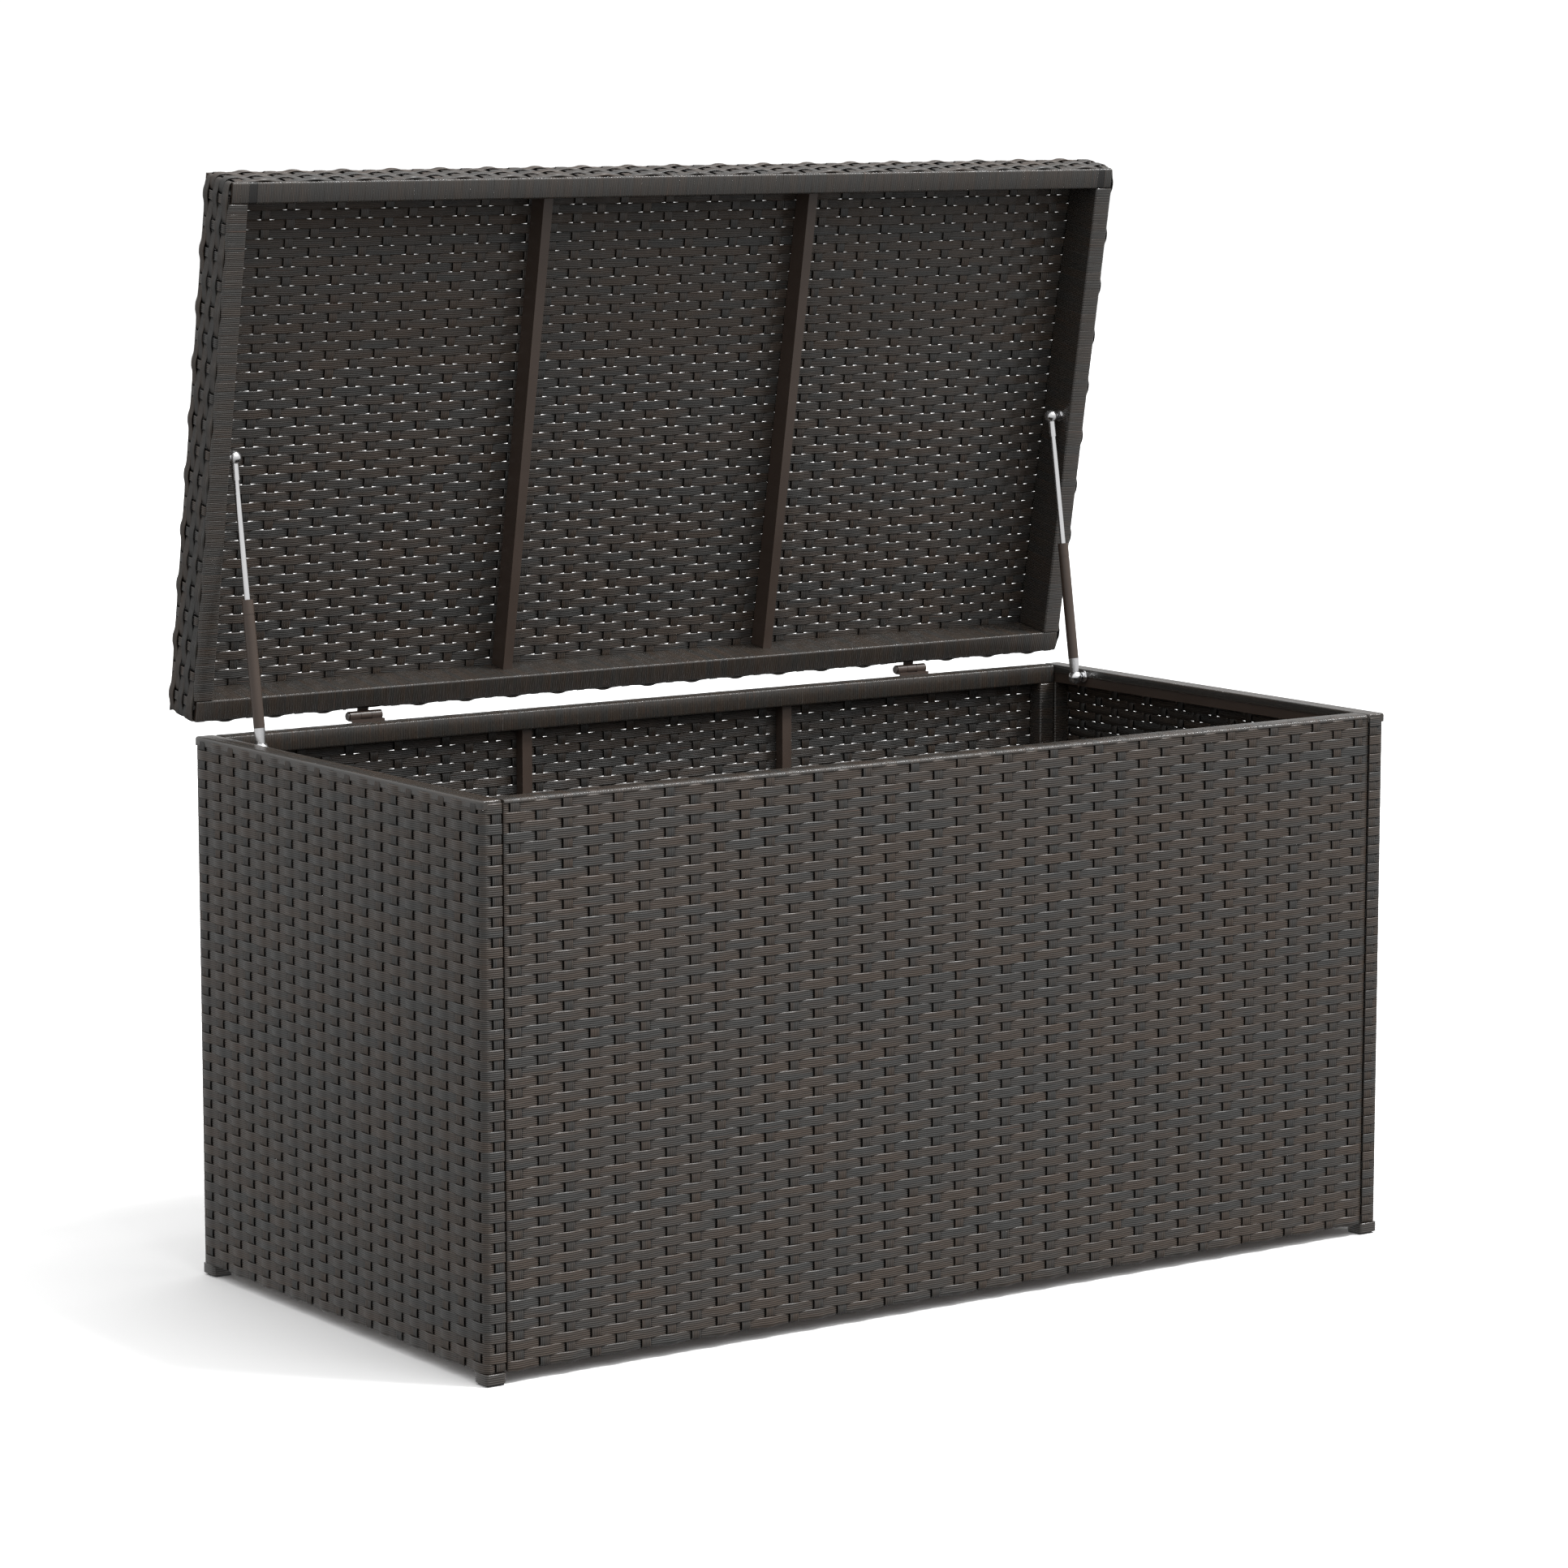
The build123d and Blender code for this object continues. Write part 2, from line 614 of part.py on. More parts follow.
# Gas struts
tube_bore = strut_tube_radius - strut_tube_wall
guide_start = strut_tube_end - guide_length
piston_start = guide_start - piston_play - piston_length
for side, side_name in ((-1, "left"), (1, "right")):
    with BuildPart() as strut_tube:
        round_bar(strut_plane(side, strut_tube_start), strut_tube_radius, strut_tube_length)
        hollow = strut_plane(side, strut_tube_start + strut_cap)
        round_bar(hollow, tube_bore, strut_tube_length - strut_cap, mode=Mode.SUBTRACT)
        with BuildSketch(strut_plane(side, strut_tube_end - crimp_drop)):
            Circle(strut_tube_radius + cut_margin)
            Circle(strut_tube_radius - crimp_depth, mode=Mode.SUBTRACT)
        extrude(amount=crimp_width, mode=Mode.SUBTRACT)
    save(strut_tube.part, f"strut_tube_{side_name}")

    with BuildPart() as lower_socket:
        with BuildSketch(strut_plane(side, socket_neck_start)):
            Circle(socket_neck_radius)
        with BuildSketch(strut_plane(side, strut_tube_start)):
            Circle(strut_tube_radius)
        loft()
        ball_socket(side, strut_low_y, strut_low_z)
    save(lower_socket.part, f"strut_lower_socket_{side_name}")

    with BuildPart() as rod_guide:
        round_bar(strut_plane(side, guide_start), tube_bore, guide_length)
        bore = rod_radius + rod_clearance
        round_bar(strut_plane(side, guide_start), bore, guide_length, mode=Mode.SUBTRACT)
    save(rod_guide.part, f"strut_guide_{side_name}")

    with BuildPart() as strut_rod:
        round_bar(strut_plane(side, piston_start), rod_radius, sleeve_start + rod_grip - piston_start)
    save(strut_rod.part, f"strut_rod_{side_name}")

    with BuildPart() as piston:
        round_bar(strut_plane(side, piston_start), tube_bore - rod_clearance, piston_length)
        round_bar(strut_plane(side, piston_start), rod_radius, piston_length, mode=Mode.SUBTRACT)
    save(piston.part, f"strut_piston_{side_name}")

    with BuildPart() as upper_socket:
        round_bar(strut_plane(side, sleeve_start), sleeve_radius, sleeve_length)
        ball_socket(side, top_ball.Y, top_ball.Z)
        round_bar(strut_plane(side, sleeve_start), rod_radius, rod_grip, mode=Mode.SUBTRACT)
    save(upper_socket.part, f"strut_upper_socket_{side_name}")

    with BuildPart() as upper_stud:
        ball_stud(side, top_ball.Y, top_ball.Z, washer_face_x - stud_gap, 0)
    save(upper_stud.part, f"upper_ball_stud_{side_name}")

# Travel of the coupled strut joints, worked out from the linkage
shut_run = hinge_y - strut_top_reach - strut_low_y
shut_rise = hinge_z + strut_top_rise - strut_low_z
swing = atan2(shut_rise, shut_run) - atan2(strut_rise, strut_run)
slide = hypot(shut_run, shut_rise) - strut_length
print(f"strut swing {degrees(swing):.4f} deg, ratio {swing / open_angle:.6f}")
print(f"strut slide {slide:.4f} mm, ratio {slide / 1000 / open_angle:.8f} m/rad, axis {strut_direction}")
print(f"top ball {top_ball}, lid plane {lid_frame_plane.z_dir}, shut height {hinge_z + lid_top:.1f}")
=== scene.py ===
"""Looks for the deck storage box: woven flat strips, close-wound wraps, painted steel and chrome."""

import json
import math

import bpy
import numpy as np
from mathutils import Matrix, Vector


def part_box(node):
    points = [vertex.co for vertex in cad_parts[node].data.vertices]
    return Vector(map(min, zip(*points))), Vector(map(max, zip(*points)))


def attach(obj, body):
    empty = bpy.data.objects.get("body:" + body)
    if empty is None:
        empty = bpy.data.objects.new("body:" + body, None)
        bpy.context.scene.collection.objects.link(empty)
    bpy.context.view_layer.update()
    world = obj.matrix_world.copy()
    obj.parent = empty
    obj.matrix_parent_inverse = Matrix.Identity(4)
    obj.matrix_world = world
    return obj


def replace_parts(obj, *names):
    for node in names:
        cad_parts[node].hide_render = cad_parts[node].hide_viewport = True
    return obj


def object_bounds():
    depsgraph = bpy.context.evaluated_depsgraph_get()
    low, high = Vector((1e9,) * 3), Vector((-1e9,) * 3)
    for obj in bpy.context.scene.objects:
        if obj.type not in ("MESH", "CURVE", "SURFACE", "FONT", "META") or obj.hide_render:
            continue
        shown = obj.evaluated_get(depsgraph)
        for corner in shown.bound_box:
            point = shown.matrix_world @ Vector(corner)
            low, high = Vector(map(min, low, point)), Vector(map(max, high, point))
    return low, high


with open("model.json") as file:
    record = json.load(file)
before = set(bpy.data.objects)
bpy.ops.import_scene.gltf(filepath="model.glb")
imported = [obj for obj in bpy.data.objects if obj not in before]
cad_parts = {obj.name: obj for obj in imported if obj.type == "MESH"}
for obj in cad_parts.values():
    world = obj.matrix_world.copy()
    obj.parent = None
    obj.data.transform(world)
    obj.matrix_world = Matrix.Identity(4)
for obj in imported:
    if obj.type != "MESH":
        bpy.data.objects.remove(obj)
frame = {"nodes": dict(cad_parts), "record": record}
cad_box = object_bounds()
MM = 0.001

quarter = math.pi / 2

# Strip stock
strip_width = 10.6 * MM
strip_thickness = 1.25 * MM
strip_ribs = 5
rib_height = 0.3 * MM
blunt_edge = 0.3 * MM

# Weave: its rows and stakes, and how far the strips swing out of its plane where they cross.
# The open swing is for the sheets that are seen from both sides. The edge is the lid's, and
# leaf_rows of its rows lie under the hinge leaves.
row_count = 56
stake_pitch = 31.0 * MM
weaver_swing = 1.55 * MM
open_swing = 1.75 * MM
stake_swing = 0.75 * MM
edge_swing = 2.2 * MM
edge_stake_swing = 0.6 * MM
edge_rows = 5
leaf_rows = 3

# Bends: their length and sharpness, and the points along a weaver and a stake, in shares of a pitch
bend_reach = 8.5 * MM
bend_power = 3
bends = (0.0, 0.13, 0.21, 0.29, 0.4, 0.6, 0.71, 0.79, 0.87)
row_bends = (-0.5, -0.27, 0.27)
row_signs = np.array([0.0, 1.0, 1.0])
end_share = 0.05

# Painted shade beside the crossings, standing in for the shadow in the crevice where a strip dips
# behind a proud stake: it goes by the distance along a strip from the nearest crossing that hides it,
# and a strip is darkest where that distance is the shorter reach below or less
open_reach = 31.0 * MM
crevice_shade_reach = 6.4 * MM
stake_margin = 1.0 * MM
open_inset = 0.9 * MM

# Slits: how much narrower a strip is at its crossings, and how far along it that reaches
pinch_reach = 11.0 * MM
wall_pinch = 0.035
lid_pinch = 0.025

# Planes of the box, from the CAD frame
half_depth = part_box("right_weave")[1].y
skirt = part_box("front_weave")[0].z
body_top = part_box("front_weave")[1].z
panel_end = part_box("front_weave")[1].x
tube_outer_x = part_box("right_end_frame")[1].x
tube_inner_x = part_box("right_end_frame")[0].x
tube_outer_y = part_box("right_end_frame")[1].y
rail_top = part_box("right_end_frame")[1].z
leg_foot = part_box("right_end_frame")[0].z
tube = tube_outer_x - tube_inner_x
tube_inner_y = tube_outer_y - tube
rail_bottom = rail_top - tube
stile_outer_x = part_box("front_frame")[1].x
base_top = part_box("floor_weave")[0].z
seam = 1.7 * MM
leaf_half = 21.0 * MM
leaf_room = 3.0 * MM
hinge_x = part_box("hinge_lid_leaves")[1].x - leaf_half
hinge_half = leaf_half + leaf_room

# The lid's own frame, from the hinge joint
hinge = next(j for j in frame["record"]["behaviour"]["joints"] if j["name"] == "lid_hinge")
hinge_place = np.array(hinge["pos_m"])
open_angle = math.radians(hinge["range_deg"][1])
lid_cos, lid_sin = math.cos(open_angle), math.sin(open_angle)


def lid_to_world(points):
    """Points in the lid's own frame, as they stand with the lid open."""
    x, y, z = points[..., 0], points[..., 1], points[..., 2]
    return np.stack([x, y * lid_cos + z * lid_sin, z * lid_cos - y * lid_sin], -1) + hinge_place


def lid_box(node):
    """Corners of a lid node in the lid's own frame, worked out from its upright box."""
    low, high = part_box(node)
    spread = lid_sin**2 - lid_cos**2
    across, rise = high.y - low.y, high.z - low.z
    depth = (rise * lid_sin - across * lid_cos) / spread
    height = (across * lid_sin - rise * lid_cos) / spread
    middle = (np.array(low) + np.array(high)) / 2 - hinge_place
    y = middle[1] * lid_cos - middle[2] * lid_sin
    z = middle[1] * lid_sin + middle[2] * lid_cos
    return (
        np.array((low.x, y - depth / 2, z - height / 2)),
        np.array((high.x, y + depth / 2, z + height / 2)),
    )


# ---------------------------------------------------------------------------
# Materials


class Nodes:
    """A material under construction, with short ways to add nodes."""

    def __init__(self, name):
        self.material = bpy.data.materials.new(name)
        self.material.use_nodes = True
        self.tree = self.material.node_tree
        self.shader = next(n for n in self.tree.nodes if n.type == "BSDF_PRINCIPLED")

    def add(self, kind, **values):
        node = self.tree.nodes.new(kind)
        for name, value in values.items():
            setattr(node, name, value)
        return node

    def link(self, source, target):
        self.tree.links.new(source, target)

    def attribute(self, name):
        return self.add("ShaderNodeAttribute", attribute_name=name).outputs["Fac"]

    def math(self, operation, *inputs):
        node = self.add("ShaderNodeMath", operation=operation)
        for index, value in enumerate(inputs):
            if isinstance(value, (int, float)):
                node.inputs[index].default_value = value
            else:
                self.link(value, node.inputs[index])
        return node.outputs[0]

    def vector(self, x, y, z):
        node = self.add("ShaderNodeCombineXYZ")
        for index, value in enumerate((x, y, z)):
            if isinstance(value, (int, float)):
                node.inputs[index].default_value = value
            else:
                self.link(value, node.inputs[index])
        return node.outputs[0]

    def noise(self, vector, scale=1.0, detail=2.0, roughness=0.5):
        node = self.add("ShaderNodeTexNoise")
        self.link(vector, node.inputs["Vector"])
        node.inputs["Scale"].default_value = scale
        node.inputs["Detail"].default_value = detail
        node.inputs["Roughness"].default_value = roughness
        return node.outputs[0]

    def spread(self, value, low, high, to_low=0.0, to_high=1.0):
        node = self.add("ShaderNodeMapRange")
        self.link(value, node.inputs["Value"])
        limits = {"From Min": low, "From Max": high, "To Min": to_low, "To Max": to_high}
        for name, number in limits.items():
            node.inputs[name].default_value = number
        return node.outputs[0]

    def grain(self, along, across, lane, stretch, detail):
        """Noise stretched along a strip, different in every lane."""
        along = self.math("MULTIPLY", along, stretch[0])
        across = self.math("MULTIPLY", across, stretch[1])
        return self.noise(self.vector(along, across, lane), 1.0, detail)

    def mix(self, factor, first, second, blend="MIX"):
        node = self.add("ShaderNodeMix", data_type="RGBA", blend_type=blend)
        for name, value in (("Factor_Float", factor), ("A_Color", first), ("B_Color", second)):
            socket = next(s for s in node.inputs if s.identifier == name)
            if isinstance(value, tuple):
                socket.default_value = (*value, 1.0)
            elif isinstance(value, (int, float)):
                socket.default_value = value
            else:
                self.link(value, socket)
        return next(s for s in node.outputs if s.identifier == "Result_Color")

    def bump(self, height, distance, strength=1.0):
        node = self.add("ShaderNodeBump")
        node.inputs["Distance"].default_value = distance
        node.inputs["Strength"].default_value = strength
        self.link(height, node.inputs["Height"])
        self.link(node.outputs[0], self.shader.inputs["Normal"])

    def set(self, **values):
        for name, value in values.items():
            socket = self.shader.inputs[name.replace("_", " ")]
            if isinstance(value, tuple):
                socket.default_value = (*value, 1.0)
            elif isinstance(value, (int, float)):
                socket.default_value = value
            else:
                self.link(value, socket)


# Surfaces: how far apart the strips lie in the noise, how finely each noise repeats along a strip,
# per metre, and across its width, how the painted shade beside the crossings fades, and how deep the fine
# textures are
lane_spacing = 97.0
drift_stretch = (9.0, 0.7)
streak_stretch = (14.0, 9.0)
fibre_stretch = (60.0, 28.0)
crevice_shade_fade = 0.9 * MM
darkest = 0.12
peel_height = 0.04 * MM
plastic_grain = 0.03 * MM


def strip_material(name, brown, grey, red, red_share, gloss, shine):
    """Extruded plastic strip: fine ribs and a streaky mix of dark brown, grey and a little red-brown, with
    painted shade in the rib grooves and beside the crossings.
    """
    m = Nodes(name)
    along, across, tone, cover = (m.attribute(label) for label in ("along", "across", "tone", "cover"))
    lane = m.math("MULTIPLY", tone, lane_spacing)
    drifts = m.grain(along, across, lane, drift_stretch, 2.0)
    streaks = m.grain(along, across, lane, streak_stretch, 3.0)
    fibres = m.grain(along, across, lane, fibre_stretch, 2.0)
    blend = m.math("ADD", m.math("MULTIPLY", drifts, 0.9), m.math("MULTIPLY", tone, 0.22))
    colour = m.mix(m.spread(blend, 0.4, 0.72), brown, grey)
    colour = m.mix(m.spread(streaks, 0.66 - red_share, 0.76 - red_share, 0.0, 0.7), colour, red)
    shade = m.spread(fibres, 0.25, 0.75, 0.72, 1.22)
    inside = m.spread(m.math("ABSOLUTE", m.math("SUBTRACT", across, 0.5)), 0.4, 0.44, 1.0, 0.0)
    rib = m.math("MULTIPLY", m.math("COSINE", m.math("MULTIPLY", across, 2 * math.pi * strip_ribs)), inside)
    # Painted shade in the rib grooves and a painted highlight on the rib crests, on top of the rib bump
    groove_shade = m.spread(rib, -0.4, 1.0, 1.08, 0.45)
    shade = m.math("MULTIPLY", shade, groove_shade)
    # Painted shade: darkest next to the crossings that hide the strip, as the shadow in the crevice beside
    # a proud stake; turns listed as dark get this darkness as their own darker colour
    shade = m.math("MULTIPLY", shade, m.spread(cover, crevice_shade_reach, crevice_shade_reach + crevice_shade_fade, darkest, 1.0))
    m.set(
        Base_Color=m.mix(1.0, colour, m.vector(shade, shade, shade), "MULTIPLY"),
        Roughness=m.spread(fibres, 0.3, 0.7, gloss - 0.04, gloss + 0.06),
        Specular_IOR_Level=shine,
        IOR=1.5,
    )
    height = m.math("ADD", m.math("MULTIPLY", rib, -0.5), m.math("MULTIPLY", fibres, 0.35))
    m.bump(height, rib_height)
    return m.material


def painted_steel(name, colour, roughness=0.42):
    """Powder-coated steel with a faint orange-peel texture."""
    m = Nodes(name)
    place = m.add("ShaderNodeTexCoord").outputs["Object"]
    peel = m.noise(place, 900.0, 1.0)
    cloud = m.noise(place, 14.0, 3.0)
    shade = m.spread(cloud, 0.3, 0.7, 0.9, 1.1)
    m.set(
        Base_Color=m.mix(1.0, colour, m.vector(shade, shade, shade), "MULTIPLY"),
        Roughness=m.spread(cloud, 0.3, 0.7, roughness - 0.05, roughness + 0.06),
        Specular_IOR_Level=0.5,
    )
    m.bump(peel, peel_height)
    return m.material


def bright_metal(name, colour, roughness, brush=0.0):
    """Chrome or bare steel with slight handling wear."""
    m = Nodes(name)
    place = m.add("ShaderNodeTexCoord").outputs["Object"]
    wear = m.noise(place, 60.0, 3.0)
    m.set(
        Base_Color=colour,
        Metallic=1.0,
        Roughness=m.spread(wear, 0.3, 0.75, roughness, roughness + 0.1),
    )
    m.bump(m.noise(place, 1500.0, 2.0), brush * MM)
    return m.material


def matte_plastic(name, colour):
    """Moulded plastic with a fine, even grain."""
    m = Nodes(name)
    grain = m.noise(m.add("ShaderNodeTexCoord").outputs["Object"], 1200.0, 2.0)
    shade = m.spread(grain, 0.3, 0.7, 0.9, 1.1)
    m.set(Base_Color=m.mix(1.0, colour, m.vector(shade, shade, shade), "MULTIPLY"), Roughness=0.6)
    m.bump(grain, plastic_grain)
    return m.material


brown = (0.058, 0.043, 0.033)
grey = (0.043, 0.042, 0.040)
red = (0.095, 0.049, 0.032)
weave_finish = strip_material("woven_strip", brown, grey, red, 0.0, 0.37, 0.4)
wrap_brown = (0.049, 0.038, 0.030)
wrap_grey = (0.039, 0.037, 0.034)
wrap_finish = strip_material("wrapped_strip", wrap_brown, wrap_grey, red, 0.03, 0.22, 0.7)
finishes = {
    "poly_weave": weave_finish,
    "poly_wrap": wrap_finish,
    "brown_steel": painted_steel("brown_powder_coat", (0.052, 0.036, 0.028)),
    "hinge_brown": painted_steel("hinge_enamel", (0.05, 0.034, 0.027), 0.36),
    "strut_brown": painted_steel("strut_enamel", (0.055, 0.038, 0.029), 0.36),
    "rod_chrome": bright_metal("rod_chrome_plate", (0.78, 0.78, 0.79), 0.14, 0.0),
    "strut_inner": bright_metal("strut_inner_steel", (0.5, 0.5, 0.5), 0.3, 0.02),
    "socket_steel": bright_metal("socket_plate", (0.76, 0.76, 0.77), 0.2, 0.01),
    "stud_chrome": bright_metal("stud_chrome_plate", (0.8, 0.8, 0.81), 0.1, 0.0),
    "foot_plastic": matte_plastic("foot_moulding", (0.02, 0.02, 0.02)),
    "fastener_steel": bright_metal("zinc_fastener", (0.55, 0.55, 0.56), 0.3, 0.02),
}


# ---------------------------------------------------------------------------
# Mesh building


class Pile:
    """Collects closed strips and turns them into one mesh object on one body."""

    def __init__(self, name, slot, body):
        self.name, self.slot, self.body = name, slot, body
        self.points, self.quads, self.caps = [], [], []
        self.values = {"across": [], "along": [], "tone": [], "cover": []}
        self.count = 0

    def add(self, rings, across, along, tone, cover=open_reach):
        """One strip: rings is (steps, corners, 3); across, along, tone and the painted-shade distance fit
        (steps, corners).
        """
        middle = rings[0].mean(0)
        edge = rings[0] - middle
        area = np.cross(edge, np.roll(edge, -1, axis=0)).sum(0)
        travel = rings[1].mean(0) - middle
        flip = area @ travel < 0
        shape = rings.shape[:2]
        grids = {"across": across, "along": along, "tone": tone, "cover": cover}
        if flip:
            rings = rings[:, ::-1]
        steps, corners = shape
        index = np.arange(steps * corners).reshape(shape) + self.count
        before, after = index[:-1], index[1:]
        quads = np.stack([before, np.roll(before, -1, 1), np.roll(after, -1, 1), after], -1)
        self.quads.append(quads.reshape(-1, 4))
        self.caps.append(index[0][::-1])
        self.caps.append(index[-1])
        self.points.append(rings.reshape(-1, 3))
        for label, grid in grids.items():
            values = np.broadcast_to(grid, shape)
            self.values[label].append((values[:, ::-1] if flip else values).ravel())
        self.count += steps * corners

    def build(self):
        points, quads = np.concatenate(self.points), np.concatenate(self.quads)
        mesh = bpy.data.meshes.new(self.name)
        loops = np.concatenate([quads.ravel(), *self.caps]).astype(np.int32)
        sizes = np.array([4] * len(quads) + [len(c) for c in self.caps])
        starts = np.concatenate([[0], np.cumsum(sizes)[:-1]]).astype(np.int32)
        mesh.vertices.add(len(points))
        mesh.vertices.foreach_set("co", points.astype(np.float32).ravel())
        mesh.loops.add(len(loops))
        mesh.loops.foreach_set("vertex_index", loops)
        mesh.polygons.add(len(sizes))
        mesh.polygons.foreach_set("loop_start", starts)
        mesh.polygons.foreach_set("use_smooth", sizes == 4)
        for label, values in self.values.items():
            layer = mesh.attributes.new(label, "FLOAT", "POINT")
            layer.data.foreach_set("value", np.concatenate(values).astype(np.float32))
        mesh.update(calc_edges=True)
        mesh.materials.append(finishes[self.slot])
        obj = bpy.data.objects.new(self.name, mesh)
        bpy.context.scene.collection.objects.link(obj)
        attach(obj, self.body)
        return obj


def strip_section(width, thickness, ribs=strip_ribs, both=False):
    """Corners of a ribbed strip's section as (sideways, outwards) pairs, from its left edge round."""
    lanes = np.linspace(-width / 2, width / 2, 2 * ribs + 1)[1:-1]
    heights = np.where(np.arange(len(lanes)) % 2 == 0, thickness / 2, thickness / 2 - rib_height)
    edge_height = thickness / 2 - blunt_edge
    upper = [(-width / 2, edge_height), *zip(lanes, heights), (width / 2, edge_height)]
    flat = [(width / 2, -thickness / 2), (-width / 2, -thickness / 2)]
    lower = [(x, -y) for x, y in reversed(upper)] if both else flat
    return np.array([*upper, *lower])


class Track:
    """A flat path with rounded corners, which runs past its ends in a straight line."""

    def __init__(self, points, radius):
        points = [np.array(p, float) for p in points]
        places, facing = [], []
        for index, point in enumerate(points):
            if index in (0, len(points) - 1):
                other = points[1] if index == 0 else points[-2]
                heading = (other - point) if index == 0 else (point - other)
                places.append(point)
                facing.append(math.atan2(heading[1], heading[0]))
                continue
            into, out = point - points[index - 1], points[index + 1] - point
            start, end = math.atan2(into[1], into[0]), math.atan2(out[1], out[0])
            turn = (end - start + math.pi) % (2 * math.pi) - math.pi
            reach = radius * math.tan(abs(turn) / 2)
            side = math.copysign(1.0, turn)
            begin = point - into / np.linalg.norm(into) * reach
            centre = begin + side * radius * np.array((-math.sin(start), math.cos(start)))
            for share in np.linspace(0, 1, 9):
                angle = start + turn * share
                places.append(centre - side * radius * np.array((-math.sin(angle), math.cos(angle))))
                facing.append(angle)
        self.places, self.facing = np.array(places), np.unwrap(facing)
        steps = np.linalg.norm(np.diff(self.places, axis=0), axis=1)
        self.marks = np.concatenate([[0], np.cumsum(steps)])
        self.length = self.marks[-1]

    def at(self, s):
        """Places and the outward side (to the right of travel) at distances along the path."""
        place = np.stack([np.interp(s, self.marks, self.places[:, i]) for i in (0, 1)], -1)
        angle = np.interp(s, self.marks, self.facing)
        heading = np.stack([np.cos(angle), np.sin(angle)], -1)
        over = s - np.clip(s, 0, self.length)
        place = place + over[..., None] * heading
        return place, np.stack([heading[..., 1], -heading[..., 0]], -1)


class Sheet:
    """A woven surface: a level track for the weavers and an upright track for the stakes."""

    def __init__(self, level, upright, to_world=None):
        self.level, self.upright, self.to_world = level, upright, to_world

    def point(self, s, v, n):
        """s along the level track, v along the upright track, n out of the surface."""
        place, outward = self.level.at(s)
        rise, tilt = self.upright.at(v)
        inset = rise[..., 0] + n * tilt[..., 0]
        height = rise[..., 1] + n * tilt[..., 1]
        flat = place + inset[..., None] * outward
        points = np.concatenate([flat, height[..., None]], -1)
        return self.to_world(points) if self.to_world else points


def stake_bends(s, first, pitch, reach=bend_reach):
    """How far a weaver bends at each place: +1 at even stakes, -1 at odd ones, 0 between them."""
    number = np.round((s - first) / pitch)
    away = (s - first) / pitch - number
    return np.where(number % 2 == 0, 1.0, -1.0) * np.exp(-(np.abs(away * pitch / reach) ** bend_power))


def hidden_reach(places, first, pitch, sign):
    """How far each place is from the nearest crossing that hides the strip, outside and inside, which sets
    the painted crevice shade.
    """
    turns = (places - first) / pitch / 2
    to_even = np.abs(turns - np.round(turns)) * 2 * pitch
    to_odd = pitch - to_even
    return (to_odd, to_even) if sign > 0 else (to_even, to_odd)


def row_places(start, end, first, pitch):
    """Places along a stake: the edges of each row, and where the stake lies flat across it."""
    numbers = np.arange(math.floor((start - first) / pitch) - 1, math.ceil((end - first) / pitch) + 2)
    places = (first + (numbers[:, None] + np.array(row_bends)[None, :]) * pitch).ravel()
    signs = np.where(numbers[:, None] % 2 == 0, 1.0, -1.0) * row_signs[None, :]
    keep = (places > start + pitch * end_share) & (places < end - pitch * end_share)
    return places[keep], signs.ravel()[keep]


def bent_places(start, end, first, pitch):
    """Places along a weaver, closest together where it bends beside each stake."""
    numbers = np.arange(math.floor((start - first) / pitch), math.ceil((end - first) / pitch) + 1)
    places = (first + (numbers[:, None] + np.array(bends)[None, :]) * pitch).ravel()
    inner = places[(places > start + pitch * end_share) & (places < end - pitch * end_share)]
    return np.concatenate([[start], inner, [end]])


lift_spread = 0.08
row_drift = 0.05 * MM
stake_drift = 0.5 * MM
grain_length = 60.0


